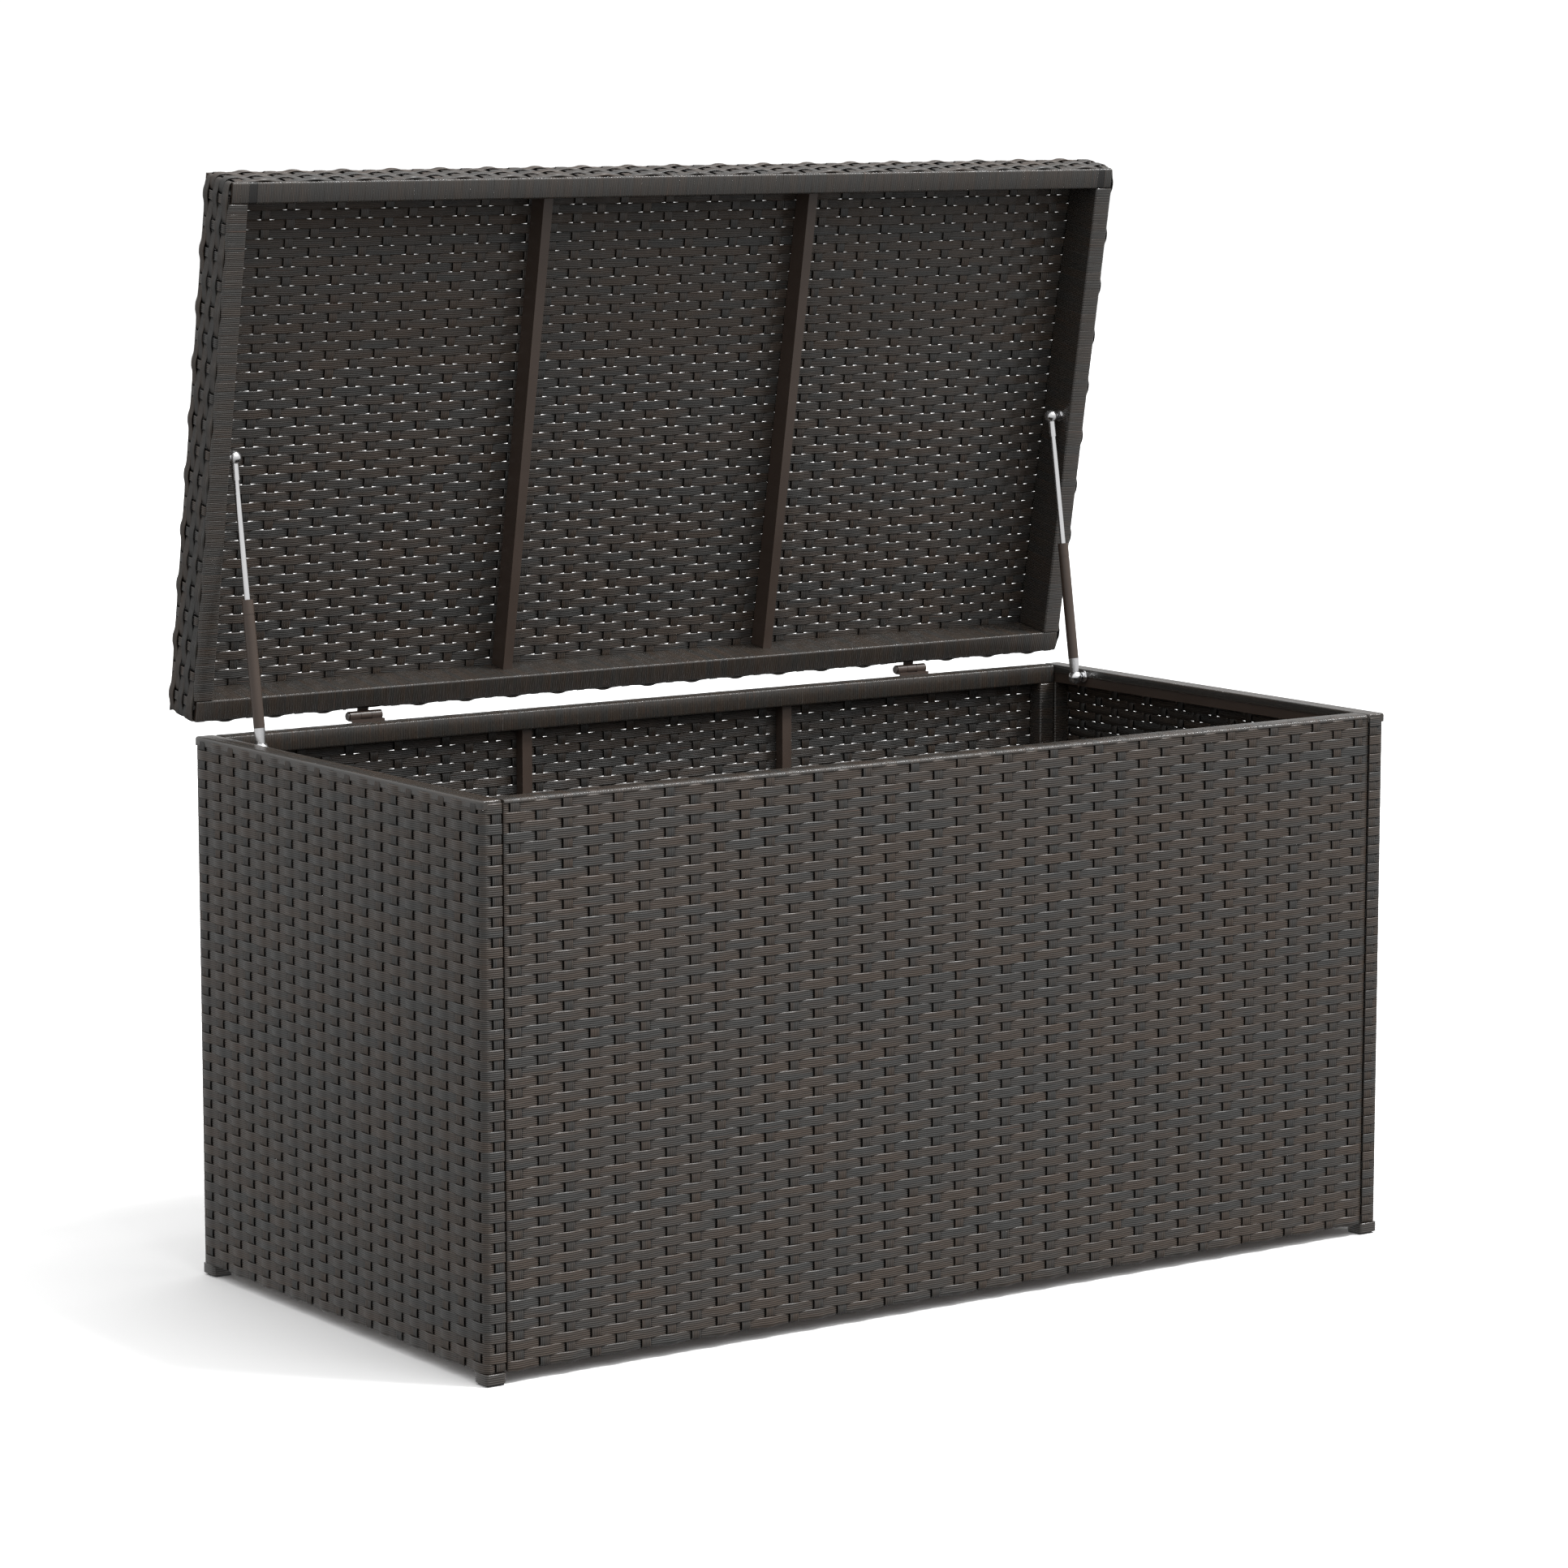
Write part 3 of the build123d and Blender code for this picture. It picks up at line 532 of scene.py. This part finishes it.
def weave(sheet, rows, stakes, row_span, stake_span, piles, stake_piles, seed, **style):
    """Plain weave: ribbed weavers at each row, and stakes that pass them on the other side."""
    swing = style.get("swing", weaver_swing)
    give = style.get("give", stake_swing)
    ribs = style.get("ribs", strip_ribs)
    both = style.get("both", False)
    width = style.get("width", strip_width)
    phase = style.get("phase", 0)
    shade_inset = style.get("shade_inset", 0.0)
    pinch = style.get("pinch", 0.0)
    random = np.random.default_rng(seed)
    section = strip_section(width, strip_thickness, ribs, both)
    pitch = stakes[1] - stakes[0]
    s = bent_places(*row_span, stakes[0], pitch)[:, None]
    across = section[None, :, 0] / width + 0.5
    for row, height in enumerate(rows):
        sign = 1 if (row + phase) % 2 == 0 else -1
        lift = sign * swing * random.uniform(1 - lift_spread, 1 + lift_spread)
        wave = stake_bends(s, stakes[0], pitch) * lift
        narrowed = 1 - pinch * np.abs(stake_bends(s, stakes[0], pitch, pinch_reach))
        drift = random.uniform(-1, 1) * row_drift
        shape = (len(s), len(section))
        points = sheet.point(
            np.broadcast_to(s, shape),
            height + drift + section[None, :, 0] * narrowed,
            wave + section[None, :, 1],
        )
        # Painted shade beside the stakes that this weaver passes under, on each face
        outer, inner = hidden_reach(s, stakes[0], pitch, sign)
        cover = np.where(section[None, :, 1] > 0, outer, inner) + shade_inset
        pile = piles[row * len(piles) // len(rows)]
        pile.add(points, across, s + random.uniform(0, grain_length), random.random(), cover)
    row_pitch = abs(rows[1] - rows[0])
    top_row = min(rows)
    v, signs = row_places(min(stake_span), max(stake_span), top_row, row_pitch)
    v = np.concatenate([[min(stake_span)], v, [max(stake_span)]])[:, None]
    signs = np.concatenate([[0.0], signs, [0.0]])[:, None]
    lowest = 1 if rows[0] < rows[-1] or len(rows) % 2 == 1 else -1
    for index, place in enumerate(stakes):
        sign = -lowest if (index + phase) % 2 == 0 else lowest
        wave = signs * sign * give
        drift = random.uniform(-1, 1) * stake_drift
        shape = (len(v), len(section))
        points = sheet.point(
            np.broadcast_to(place + drift + section[None, :, 0], shape),
            np.broadcast_to(v, shape),
            wave + section[None, :, 1],
        )
        # Painted shade beside the weavers that this stake passes under, on each face
        outer, inner = hidden_reach(v, top_row, row_pitch, sign)
        cover = np.where(section[None, :, 1] > 0, outer, inner) + stake_margin + shade_inset
        pile = stake_piles[index * len(stake_piles) // len(stakes)]
        pile.add(points, across, v + random.uniform(0, grain_length), random.random(), cover)


def rounded_polygon(points, radii, arc=4):
    """Corners of an anticlockwise polygon with each corner rounded by its own radius."""
    points = [np.array(p, float) for p in points]
    ring = []
    for index, (point, radius) in enumerate(zip(points, radii)):
        into, out = point - points[index - 1], points[(index + 1) % len(points)] - point
        start, end = math.atan2(into[1], into[0]), math.atan2(out[1], out[0])
        turn = (end - start + math.pi) % (2 * math.pi) - math.pi
        side = math.copysign(1.0, turn)
        begin = point - into / np.linalg.norm(into) * radius * math.tan(abs(turn) / 2)
        centre = begin + side * radius * np.array((-math.sin(start), math.cos(start)))
        for share in np.linspace(0, 1, arc):
            angle = start + turn * share
            ring.append(centre - side * radius * np.array((-math.sin(angle), math.cos(angle))))
    return np.array(ring)


wrap_turn = 10.2 * MM
wrap_reach = 0.95 * MM
wrap_rib = 0.3 * MM
wrap_seam = 0.36 * MM
wrap_lean = 0.35 * MM
wrap_bulge = 0.06 * MM
seam_inset = 0.02
turn_stagger = 0.37
end_round = 2.0 * MM
end_steps = np.array([1.0, 0.6, 0.25])
end_insets = np.array([1.0, 0.4, 0.1])
wrap_radius = 2.3 * MM
ridge_spacing = 2.0 * MM
wrap_grain = 50.0


def tube_section(low, high, radius=wrap_radius):
    """The plain section of a wrapped tube, as polygon corners and their radii."""
    return [(low[0], low[1]), (high[0], low[1]), (high[0], high[1]), (low[0], high[1])], (radius,) * 4


def wound_wrap(pile, low, high, axis, seed, section=tube_section, to_world=None, dark_turns=()):
    """A flat ribbed strip wound closely round the tube between two corners, turn beside turn."""
    random = np.random.default_rng(seed)
    first, second = [i for i in range(3) if i != axis]
    turns = max(1, int(round((high[axis] - low[axis]) / wrap_turn)))
    turn = (high[axis] - low[axis]) / turns
    lanes = np.linspace(0, 1, 2 * strip_ribs + 1)
    tones, leans = random.random(turns), random.uniform(-1, 1, turns) * wrap_lean
    bulges = random.uniform(-1, 1, turns) * wrap_bulge
    rings, share, number = [], [], []
    middle, span = (low[first] + high[first]) / 2, high[first] - low[first]
    for index in range(turns):
        for lane, spot in enumerate(lanes):
            edge = lane in (0, len(lanes) - 1)
            inset = seam_inset * (1 if lane == 0 else -1) if edge else 0.0
            mark = low[axis] + (index + spot + inset) * turn
            out = wrap_reach + bulges[index] - (wrap_seam if edge else (wrap_rib if lane % 2 == 0 else 0.0))
            near = (low[first] - out, low[second] - out)
            far = (high[first] + out, high[second] + out)
            ring = rounded_polygon(*section(near, far))
            points = np.zeros((len(ring), 3))
            points[:, first], points[:, second] = ring[:, 0], ring[:, 1]
            points[:, axis] = mark + leans[index] * (ring[:, 0] - middle) / span
            rings.append(points)
            share.append(spot)
            number.append(index)
    rings, share, number = np.array(rings), np.array(share), np.array(number)
    walk = np.concatenate([[0], np.cumsum(np.linalg.norm(np.diff(rings[0], axis=0), axis=1))])
    along = walk[None, :] + number[:, None] * turn_stagger + random.uniform(0, wrap_grain)
    # Turns listed as dark are a darker strip of their own colour, given the darkest value of the painted
    # crevice shade; other turns get none of it
    dark = np.isin(number, [count % turns for count in dark_turns])
    cover = np.where(dark, crevice_shade_reach, open_reach)[:, None]
    pile.add(to_world(rings) if to_world else rings, share[:, None], along, tones[number][:, None], cover)


def ridged_wrap(pile, low, high, axis, radii, seed, steps=40):
    """Strips laid along a tube, so that their ribs run with it and follow its rounded edges."""
    random = np.random.default_rng(seed)
    first, second = [i for i in range(3) if i != axis]
    corners, _ = tube_section((low[first], low[second]), (high[first], high[second]))
    ring = rounded_polygon(corners, radii, 5)
    loop = np.vstack([ring, ring[:1]])
    walk = np.concatenate([[0], np.cumsum(np.linalg.norm(np.diff(loop, axis=0), axis=1))])
    count = int(round(walk[-1] / ridge_spacing)) * 2
    spots = np.linspace(0, walk[-1], count, endpoint=False)
    dense = np.stack([np.interp(spots, walk, loop[:, i]) for i in (0, 1)], -1)
    middle = dense.mean(0)
    inward = (middle - dense) / np.linalg.norm(middle - dense, axis=1)[:, None]
    dense = dense + inward * (np.arange(count) % 2)[:, None] * wrap_rib
    marks = np.linspace(low[axis] + end_round, high[axis] - end_round, steps)
    ends, insets = end_steps * end_round, end_insets * end_round
    marks = np.concatenate([marks[0] - ends, marks, marks[-1] + ends[::-1]])
    insets = np.concatenate([insets, np.zeros(steps), insets[::-1]])[:, None]
    steps = len(marks)
    rings = np.zeros((steps, count, 3))
    for place, column in ((first, 0), (second, 1)):
        rings[:, :, place] = dense[None, :, column] + insets * inward[None, :, column]
    rings[:, :, axis] = marks[:, None]
    across = spots[None, :] / strip_width
    tone = np.floor(spots / strip_width) * turn_stagger % 1.0
    pile.add(rings, across, marks[:, None] + random.uniform(0, wrap_grain), tone[None, :])


# ---------------------------------------------------------------------------
# Walls of the box

wall_swell = weaver_swing + strip_thickness / 2
weave_clearance = 0.1 * MM
top_inset = 3.6 * MM
tight_overlap = 0.3 * MM
loose_overlap = 0.05 * MM
fold_inset = 0.75 * MM
fold_drop = 0.2 * MM
skin_x = tube_outer_x + weave_clearance + wall_swell
skin_y = tube_outer_y + weave_clearance + wall_swell
row_top = body_top - top_inset
row_pitch = (row_top - skirt) / row_count
rows = skirt + (np.arange(row_count)[::-1] + 0.5) * row_pitch
tight_width = row_pitch + tight_overlap
loose_width = row_pitch + loose_overlap
fold_radius = 2.2 * MM
fold_reach = 9.0 * MM
end_fold_reach = 4.0 * MM
fold_top = body_top - fold_inset
fold_bottom = skirt - fold_drop
first_stake = 14.0 * MM
first_end_stake = 6.2 * MM
leg_radius = 3.6 * MM
weaver_inset = 0.3 * MM
end_weaver_inset = 0.2 * MM
pressed_gap = 0.1 * MM
body_leaf_drop = 32.0 * MM


def stake_places(length, first, pitch=stake_pitch):
    """Evenly spaced stakes over a length, near the usual pitch and inset equally at both ends."""
    count = int(round((length - 2 * first) / pitch))
    return first + np.arange(count + 1) * (length - 2 * first) / count


def upright_track(top, bottom, reach):
    """Up the outside of a wall from under its bottom rail, and over its top rail."""
    return Track([(-reach, bottom), (0.0, bottom), (0.0, top), (-reach, top)], fold_radius)


def wall_levels(reach):
    """Where the rows lie along an upright track whose folds run in by reach."""
    wall_start = reach - 2 * fold_radius + fold_radius * quarter
    return wall_start + rows - fold_bottom


def press_flat(points):
    """Flattens the back weave where a hinge leaf is screwed over it."""
    near = np.abs(np.abs(points[..., 0]) - hinge_x) < hinge_half
    high = points[..., 2] > hinge_place[2] - body_leaf_drop
    y = np.where(near & high, np.minimum(points[..., 1], half_depth + pressed_gap), points[..., 1])
    return np.stack([points[..., 0], y, points[..., 2]], -1)


def panel(side, name, seed, replaced):
    """The woven skin of the front (side -1) or the back (side +1)."""
    y = side * skin_y
    ends = [(-panel_end, y), (panel_end, y)] if side < 0 else [(panel_end, y), (-panel_end, y)]
    seen_through = side > 0
    upright = upright_track(fold_top, fold_bottom, fold_reach)
    sheet = Sheet(Track(ends, 0), upright, press_flat if seen_through else None)
    stakes = stake_places(2 * panel_end, first_stake)
    piles = [Pile(f"{name}_weavers_{i + 1}", "poly_weave", "box") for i in range(4 if seen_through else 3)]
    stake_piles = [Pile(f"{name}_stakes_{i + 1}", "poly_weave", "box") for i in range(2)]
    weave(
        sheet, wall_levels(fold_reach), stakes,
        (weaver_inset, 2 * panel_end - weaver_inset), (0, upright.length),
        piles, stake_piles, seed, phase=1, both=seen_through,
        swing=open_swing if seen_through else weaver_swing,
        width=loose_width if seen_through else tight_width,
        shade_inset=open_inset if seen_through else 0.0,
        pinch=wall_pinch if seen_through else 0.0,
    )
    made = [p.build() for p in (*piles, *stake_piles)]
    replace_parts(made[0], *replaced)


def end_panel(side, name, seed, replaced):
    """The woven skin of an end, which turns round both legs as far as the seams."""
    x, y, inner = side * skin_x, skin_y, side * (panel_end + seam)
    corners = [(inner, y), (x, y), (x, -y), (inner, -y)]
    if side > 0:
        corners = corners[::-1]
    level = Track(corners, leg_radius)
    upright = upright_track(fold_top, fold_bottom, end_fold_reach)
    stakes = stake_places(level.length, first_end_stake)
    piles = [Pile(f"{name}_weavers_{i + 1}", "poly_weave", "box") for i in range(2)]
    stake_piles = [Pile(f"{name}_stakes", "poly_weave", "box")]
    weave(
        Sheet(level, upright), wall_levels(end_fold_reach), stakes,
        (end_weaver_inset, level.length - end_weaver_inset),
        (end_fold_reach, upright.length - end_fold_reach),
        piles, stake_piles, seed, phase=0,
        width=loose_width if side > 0 else tight_width, pinch=wall_pinch if side > 0 else 0.0,
    )
    made = [p.build() for p in (*piles, *stake_piles)]
    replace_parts(made[0], *replaced)


panel(-1, "front_panel", 11, ["front_weave"])
panel(1, "back_panel", 12, ["back_weave"])
end_panel(-1, "left_panel", 13, ["left_weave"])
end_panel(1, "right_panel", 14, ["right_weave"])

# Wraps on the tubes of the four walls
foot_swell = 0.4 * MM
foot_radius = 3.5 * MM
rim_swell = 0.8 * MM
cap_step = 11.0 * MM
cap_rise = 0.35 * MM
cap_radii = (0.5 * MM, 0.5 * MM, 3.0 * MM, 3.0 * MM)


def foot_section(low, high):
    """The rounder section of the strip round a foot."""
    return tube_section(low, high, foot_radius)


for side, name in ((-1, "left"), (1, "right")):
    pile = Pile(f"{name}_leg_wraps", "poly_wrap", "box")
    for facing in (-1, 1):
        x_low, x_high = sorted((side * tube_inner_x, side * (tube_outer_x - wrap_reach)))
        y_low, y_high = sorted((facing * tube_inner_y, facing * (tube_outer_y - wrap_reach)))
        wound_wrap(pile, (x_low, y_low, skirt), (x_high, y_high, rail_bottom), 2, 20 + facing + 3 * side)
        x_low, x_high = sorted((side * tube_inner_x, side * (skin_x + foot_swell)))
        y_low, y_high = sorted((facing * tube_inner_y, facing * (skin_y + foot_swell)))
        low, high = (x_low, y_low, leg_foot), (x_high, y_high, skirt)
        wound_wrap(pile, low, high, 2, 28 + facing + 3 * side, foot_section)
    legs = pile.build()
    cap = Pile(f"{name}_rim_wrap", "poly_wrap", "box")
    outer = skin_x + rim_swell
    x_low, x_high = sorted((side * (tube_inner_x - wrap_reach), side * outer))
    low = (x_low, -skin_y - rim_swell, rail_bottom + cap_step)
    high = (x_high, skin_y + rim_swell, body_top + cap_rise)
    ridged_wrap(cap, low, high, 1, cap_radii, 30 + side)
    cap.build()
    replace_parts(legs, f"{name}_end_wrap")


lip_reach = 3.9 * MM
lip_drop = 4.4 * MM
lip_radius = 3.6 * MM
inner_radius = 2.0 * MM
notch_radius = 0.3 * MM
edge_radius = 0.6 * MM
top_radius = 2.4 * MM


def lipped(side, end, reach=lip_reach, drop=lip_drop, radius=lip_radius):
    """A tube section whose wrap bulges out at one corner, over the edge of the weave."""
    def section(low, high):
        flip = np.array((side, end))
        ends = np.array([low, high]) * flip
        near, far = ends.min(0), ends.max(0)
        out, step = far[0] + reach, far[1] - drop
        corners = [near, (far[0], near[1]), (far[0], step), (out, step), (out, far[1]), (near[0], far[1])]
        radii = [inner_radius, inner_radius, notch_radius, edge_radius, radius, top_radius]
        if side * end < 0:
            corners, radii = corners[::-1], radii[::-1]
        return [np.array(c) * flip for c in corners], radii

    return section


for side, name in ((-1, "front"), (1, "back")):
    y_low, y_high = sorted((side * tube_inner_y, side * (tube_outer_y - wrap_reach)))
    pile = Pile(f"{name}_rail_wrap", "poly_wrap", "box")
    low = (-stile_outer_x, y_low, rail_bottom)
    wound_wrap(pile, low, (stile_outer_x, y_high, rail_top), 0, 40 + side, lipped(side, 1))
    for end in (-1, 1):
        x_low, x_high = sorted((end * stile_outer_x, end * (stile_outer_x - tube)))
        low, high = (x_low, y_low, base_top), (x_high, y_high, rail_bottom - wrap_reach)
        wound_wrap(pile, low, high, 2, 50 + side + 3 * end)
    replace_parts(pile.build(), f"{name}_wrap")

# Woven floor
floor_low, floor_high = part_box("floor_weave")
floor_level = Track([(floor_low.x, 0.0), (floor_high.x, 0.0)], 0)
floor_upright = Track([(0.0, floor_low.y), (0.0, floor_high.y)], 0)
floor_lift = 0.2 * MM
floor_first_row = 2.0 * MM
floor_first_stake = 12.0 * MM
floor_middle = (floor_low.z + floor_high.z) / 2 + floor_lift


def lay_flat(points):
    """Turns a sheet drawn upright in the XZ plane into a level one facing up."""
    return np.stack([points[..., 0], points[..., 2], floor_middle - points[..., 1]], -1)


floor_depth = floor_high.y - floor_low.y
floor_rows = (np.arange(int(floor_depth / row_pitch)) + 0.5) * row_pitch + floor_first_row
floor_piles = [Pile(f"floor_weavers_{i + 1}", "poly_weave", "box") for i in range(2)]
floor_stakes = [Pile("floor_stakes", "poly_weave", "box")]
weave(
    Sheet(floor_level, floor_upright, lay_flat),
    floor_rows, stake_places(floor_level.length, floor_first_stake),
    (0, floor_level.length), (0, floor_depth), floor_piles, floor_stakes, 15, ribs=2,
)
made = [p.build() for p in (*floor_piles, *floor_stakes)]
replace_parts(made[0], "floor_weave")

# ---------------------------------------------------------------------------
# Lid

edge_low, edge_high = lid_box("lid_edge_weave")
top_low, top_high = lid_box("lid_top_weave")
wrap_low, wrap_high = lid_box("lid_rim_wrap")
wrap_gap = 0.8 * MM
lid_tube_low = wrap_low + wrap_gap
lid_tube_high = wrap_high - wrap_gap
edge_swell = edge_swing + strip_thickness / 2
edge_out = edge_swell - (edge_high[0] - wrap_high[0])
edge_depth = 20.0 * MM
edge_width = 10.0 * MM


def press_lid(points):
    """Lid frame to world, with the back edge weave flattened under the hinge leaves."""
    near = np.abs(np.abs(points[..., 0]) - hinge_x) < hinge_half
    behind = near & (points[..., 1] > edge_high[1] - edge_depth)
    behind = behind & (points[..., 2] < edge_bottom + leaf_rows * edge_pitch)
    y = np.where(behind, np.minimum(points[..., 1], edge_high[1] + pressed_gap), points[..., 1])
    return lid_to_world(np.stack([points[..., 0], y, points[..., 2]], -1))


x_out, y_front, y_back = edge_high[0] + edge_out, edge_low[1] - edge_out, edge_high[1] + edge_out
lid_corners = [(x_out, y_front), (x_out, y_back), (-x_out, y_back), (-x_out, y_front)]
lid_corner_radius = 6.0 * MM
edge_level = Track([(0.0, y_front), *lid_corners, (0.0, y_front)], lid_corner_radius)
edge_bottom_inset, edge_top_rise = 2.8 * MM, 0.4 * MM
edge_bottom = edge_low[2] + edge_bottom_inset
edge_top = top_high[2] + edge_top_rise
edge_fold, edge_fold_radius, edge_trim = 6.0 * MM, 2.0 * MM, 4.0 * MM
edge_path = [(-edge_fold, edge_bottom), (0, edge_bottom), (0, edge_top), (-edge_fold, edge_top)]
edge_upright = Track(edge_path, edge_fold_radius)
edge_span = (edge_trim, edge_upright.length - edge_trim)
edge_pitch = (edge_top - edge_bottom) / edge_rows
edge_start = edge_fold + edge_fold_radius * quarter - 2 * edge_fold_radius
edge_levels = edge_start + (np.arange(edge_rows) + 0.5) * edge_pitch
stake_count = 2 * int(round(edge_level.length / stake_pitch / 2))
edge_stakes = np.arange(stake_count) * edge_level.length / stake_count
edge_pile = [Pile(f"lid_edge_weavers_{i + 1}", "poly_weave", "lid") for i in range(2)]
edge_stake_pile = [Pile("lid_edge_stakes", "poly_weave", "lid")]
weave(
    Sheet(edge_level, edge_upright, press_lid), edge_levels, edge_stakes, (0, edge_level.length), edge_span,
    edge_pile, edge_stake_pile, 61, swing=edge_swing, give=edge_stake_swing, width=edge_width,
)
made = [p.build() for p in (*edge_pile, *edge_stake_pile)]
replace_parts(made[0], "lid_edge_weave")

# The top sheet is drawn upright in XZ, with its outer side towards -Y, then laid on the lid
top_overhang = 1.0 * MM
top_lift = 0.6 * MM
first_top_stake = 15.0 * MM
top_half = edge_high[0] + top_overhang
top_level = Track([(-top_half, 0.0), (top_half, 0.0)], 0)
top_length = edge_high[1] - edge_low[1] + 2 * top_overhang
top_upright = Track([(0.0, edge_low[1] - top_overhang), (0.0, edge_high[1] + top_overhang)], 0)
top_middle = (top_low[2] + top_high[2]) / 2 + top_lift


def lay_on_lid(points):
    """Turns the upright top sheet into the lid's top."""
    return lid_to_world(np.stack([points[..., 0], points[..., 2], top_middle - points[..., 1]], -1))


top_row_count = int(round(top_length / row_pitch))
top_pitch = top_length / top_row_count
top_levels = (np.arange(top_row_count) + 0.5) * top_pitch
top_piles = [Pile(f"lid_top_weavers_{i + 1}", "poly_weave", "lid") for i in range(5)]
top_stakes = [Pile(f"lid_top_stakes_{i + 1}", "poly_weave", "lid") for i in range(2)]
weave(
    Sheet(top_level, top_upright, lay_on_lid), top_levels, stake_places(2 * top_half, first_top_stake),
    (0, 2 * top_half), (0, top_length), top_piles, top_stakes, 62,
    both=True, swing=open_swing, width=top_pitch + loose_overlap, shade_inset=open_inset,
    pinch=lid_pinch,
)
made = [p.build() for p in (*top_piles, *top_stakes)]
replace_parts(made[0], "lid_top_weave")


def press_rim(points):
    """Lid frame to world, with the rim wrap flattened where the hinges' body leaves pass it."""
    near = np.abs(np.abs(points[..., 0]) - hinge_x) < hinge_half
    behind = near & (points[..., 1] > lid_tube_high[1])
    y = np.where(behind, np.minimum(points[..., 1], wrap_high[1] - pressed_gap), points[..., 1])
    return lid_to_world(np.stack([points[..., 0], y, points[..., 2]], -1))


lid_lip = 2.4 * MM
lid_drop = 4.0 * MM
lid_round = 3.0 * MM
front_dark_turns = (2, -2)
rim = Pile("lid_rim_wraps", "poly_wrap", "lid")
side_front = lid_tube_low[1] + tube + wrap_gap
side_back = lid_tube_high[1] - tube - wrap_gap
for side, y_low in ((-1, lid_tube_low[1]), (1, lid_tube_high[1] - tube)):
    low = (lid_tube_low[0], y_low, lid_tube_low[2])
    high = (lid_tube_high[0], y_low + tube, lid_tube_high[2])
    section = lipped(side, -1, lid_lip, lid_drop, lid_round)
    wound_wrap(rim, low, high, 0, 70 + side, section, press_rim, front_dark_turns if side < 0 else ())
for side in (-1, 1):
    x_low, x_high = sorted((side * (lid_tube_high[0] - tube), side * lid_tube_high[0]))
    low, high = (x_low, side_front, lid_tube_low[2]), (x_high, side_back, lid_tube_high[2])
    section = lipped(side, -1, lid_lip, lid_drop, lid_round)
    wound_wrap(rim, low, high, 1, 73 + side, section, lid_to_world)
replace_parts(rim.build(), "lid_rim_wrap")

# ---------------------------------------------------------------------------
# Finishes on the parts that keep their CAD shape

slots = {p["node"]: p["material_slot"] for p in frame["record"]["subparts"]}
for name, obj in frame["nodes"].items():
    if not obj.hide_render:
        obj.data.materials.clear()
        obj.data.materials.append(finishes[slots[name]])

# ---------------------------------------------------------------------------
# Floor, light and camera

floor_size = 30.0
floor_mesh = bpy.data.meshes.new("floor")
corner = floor_size / 2
floor_corners = [(-corner, -corner, 0), (corner, -corner, 0), (corner, corner, 0), (-corner, corner, 0)]
floor_mesh.from_pydata(floor_corners, [], [(0, 1, 2, 3)])
floor = bpy.data.objects.new("floor", floor_mesh)
bpy.context.scene.collection.objects.link(floor)
paper = Nodes("studio_floor")
paper.set(Base_Color=(0.98, 0.98, 0.98), Roughness=0.9, Specular_IOR_Level=0.1)
floor_mesh.materials.append(paper.material)
floor.visible_diffuse = False
floor.visible_glossy = False

sky_low, sky_high, backdrop = 0.35, 1.27, 1.1
sky_bottom, sky_top = -0.6, 1.0
world = bpy.data.worlds.new("studio")
world.use_nodes = True
bpy.context.scene.world = world
background = next(n for n in world.node_tree.nodes if n.type == "BACKGROUND")
background.inputs["Color"].default_value = (1.0, 1.0, 1.0, 1.0)
sky = world.node_tree
direction = sky.nodes.new("ShaderNodeTexCoord")
split = sky.nodes.new("ShaderNodeSeparateXYZ")
glow = sky.nodes.new("ShaderNodeMapRange")
seen = sky.nodes.new("ShaderNodeLightPath")
choose = sky.nodes.new("ShaderNodeMix")
ramp = {"From Min": sky_bottom, "From Max": sky_top, "To Min": sky_low, "To Max": sky_high}
for name, value in ramp.items():
    glow.inputs[name].default_value = value
choose.inputs[3].default_value = backdrop
sky.links.new(direction.outputs["Generated"], split.inputs[0])
sky.links.new(split.outputs["Z"], glow.inputs["Value"])
sky.links.new(seen.outputs["Is Camera Ray"], choose.inputs[0])
sky.links.new(glow.outputs[0], choose.inputs[2])
sky.links.new(choose.outputs[0], background.inputs["Strength"])

middle = (cad_box[0] + cad_box[1]) / 2


def soft_sun(name, toward, strength, softness):
    """A distant soft box, given by the direction from the object to it."""
    lamp = bpy.data.lights.new(name, "SUN")
    lamp.energy, lamp.angle = strength, math.radians(softness)
    obj = bpy.data.objects.new(name, lamp)
    obj.location = middle + Vector(toward)
    obj.rotation_mode = "QUATERNION"
    obj.rotation_quaternion = (-Vector(toward)).to_track_quat("-Z", "Y")
    bpy.context.scene.collection.objects.link(obj)


soft_sun("key", (0.2, -0.7, 0.8), 0.75, 40.0)
soft_sun("glint", (0.48, -0.4, 1.0), 3.0, 12.0)

camera_yaw = math.radians(35.025)
camera_pitch = math.radians(8.177)
camera_distance = 5.649
camera_aim = middle + Vector((-0.0075, -0.0077, -0.0739))
camera_data = bpy.data.cameras.new("camera")
camera_data.lens = 115.89
camera_data.sensor_width = 36.0
camera_data.clip_end = 60.0
camera = bpy.data.objects.new("camera", camera_data)
look = Vector((
    math.sin(camera_yaw) * math.cos(camera_pitch),
    math.cos(camera_yaw) * math.cos(camera_pitch),
    -math.sin(camera_pitch),
))
camera.location = camera_aim - look * camera_distance
camera.rotation_euler = (quarter - camera_pitch, 0, -camera_yaw)
bpy.context.scene.collection.objects.link(camera)
bpy.context.scene.camera = camera
bpy.context.scene.view_settings.view_transform = "Standard"
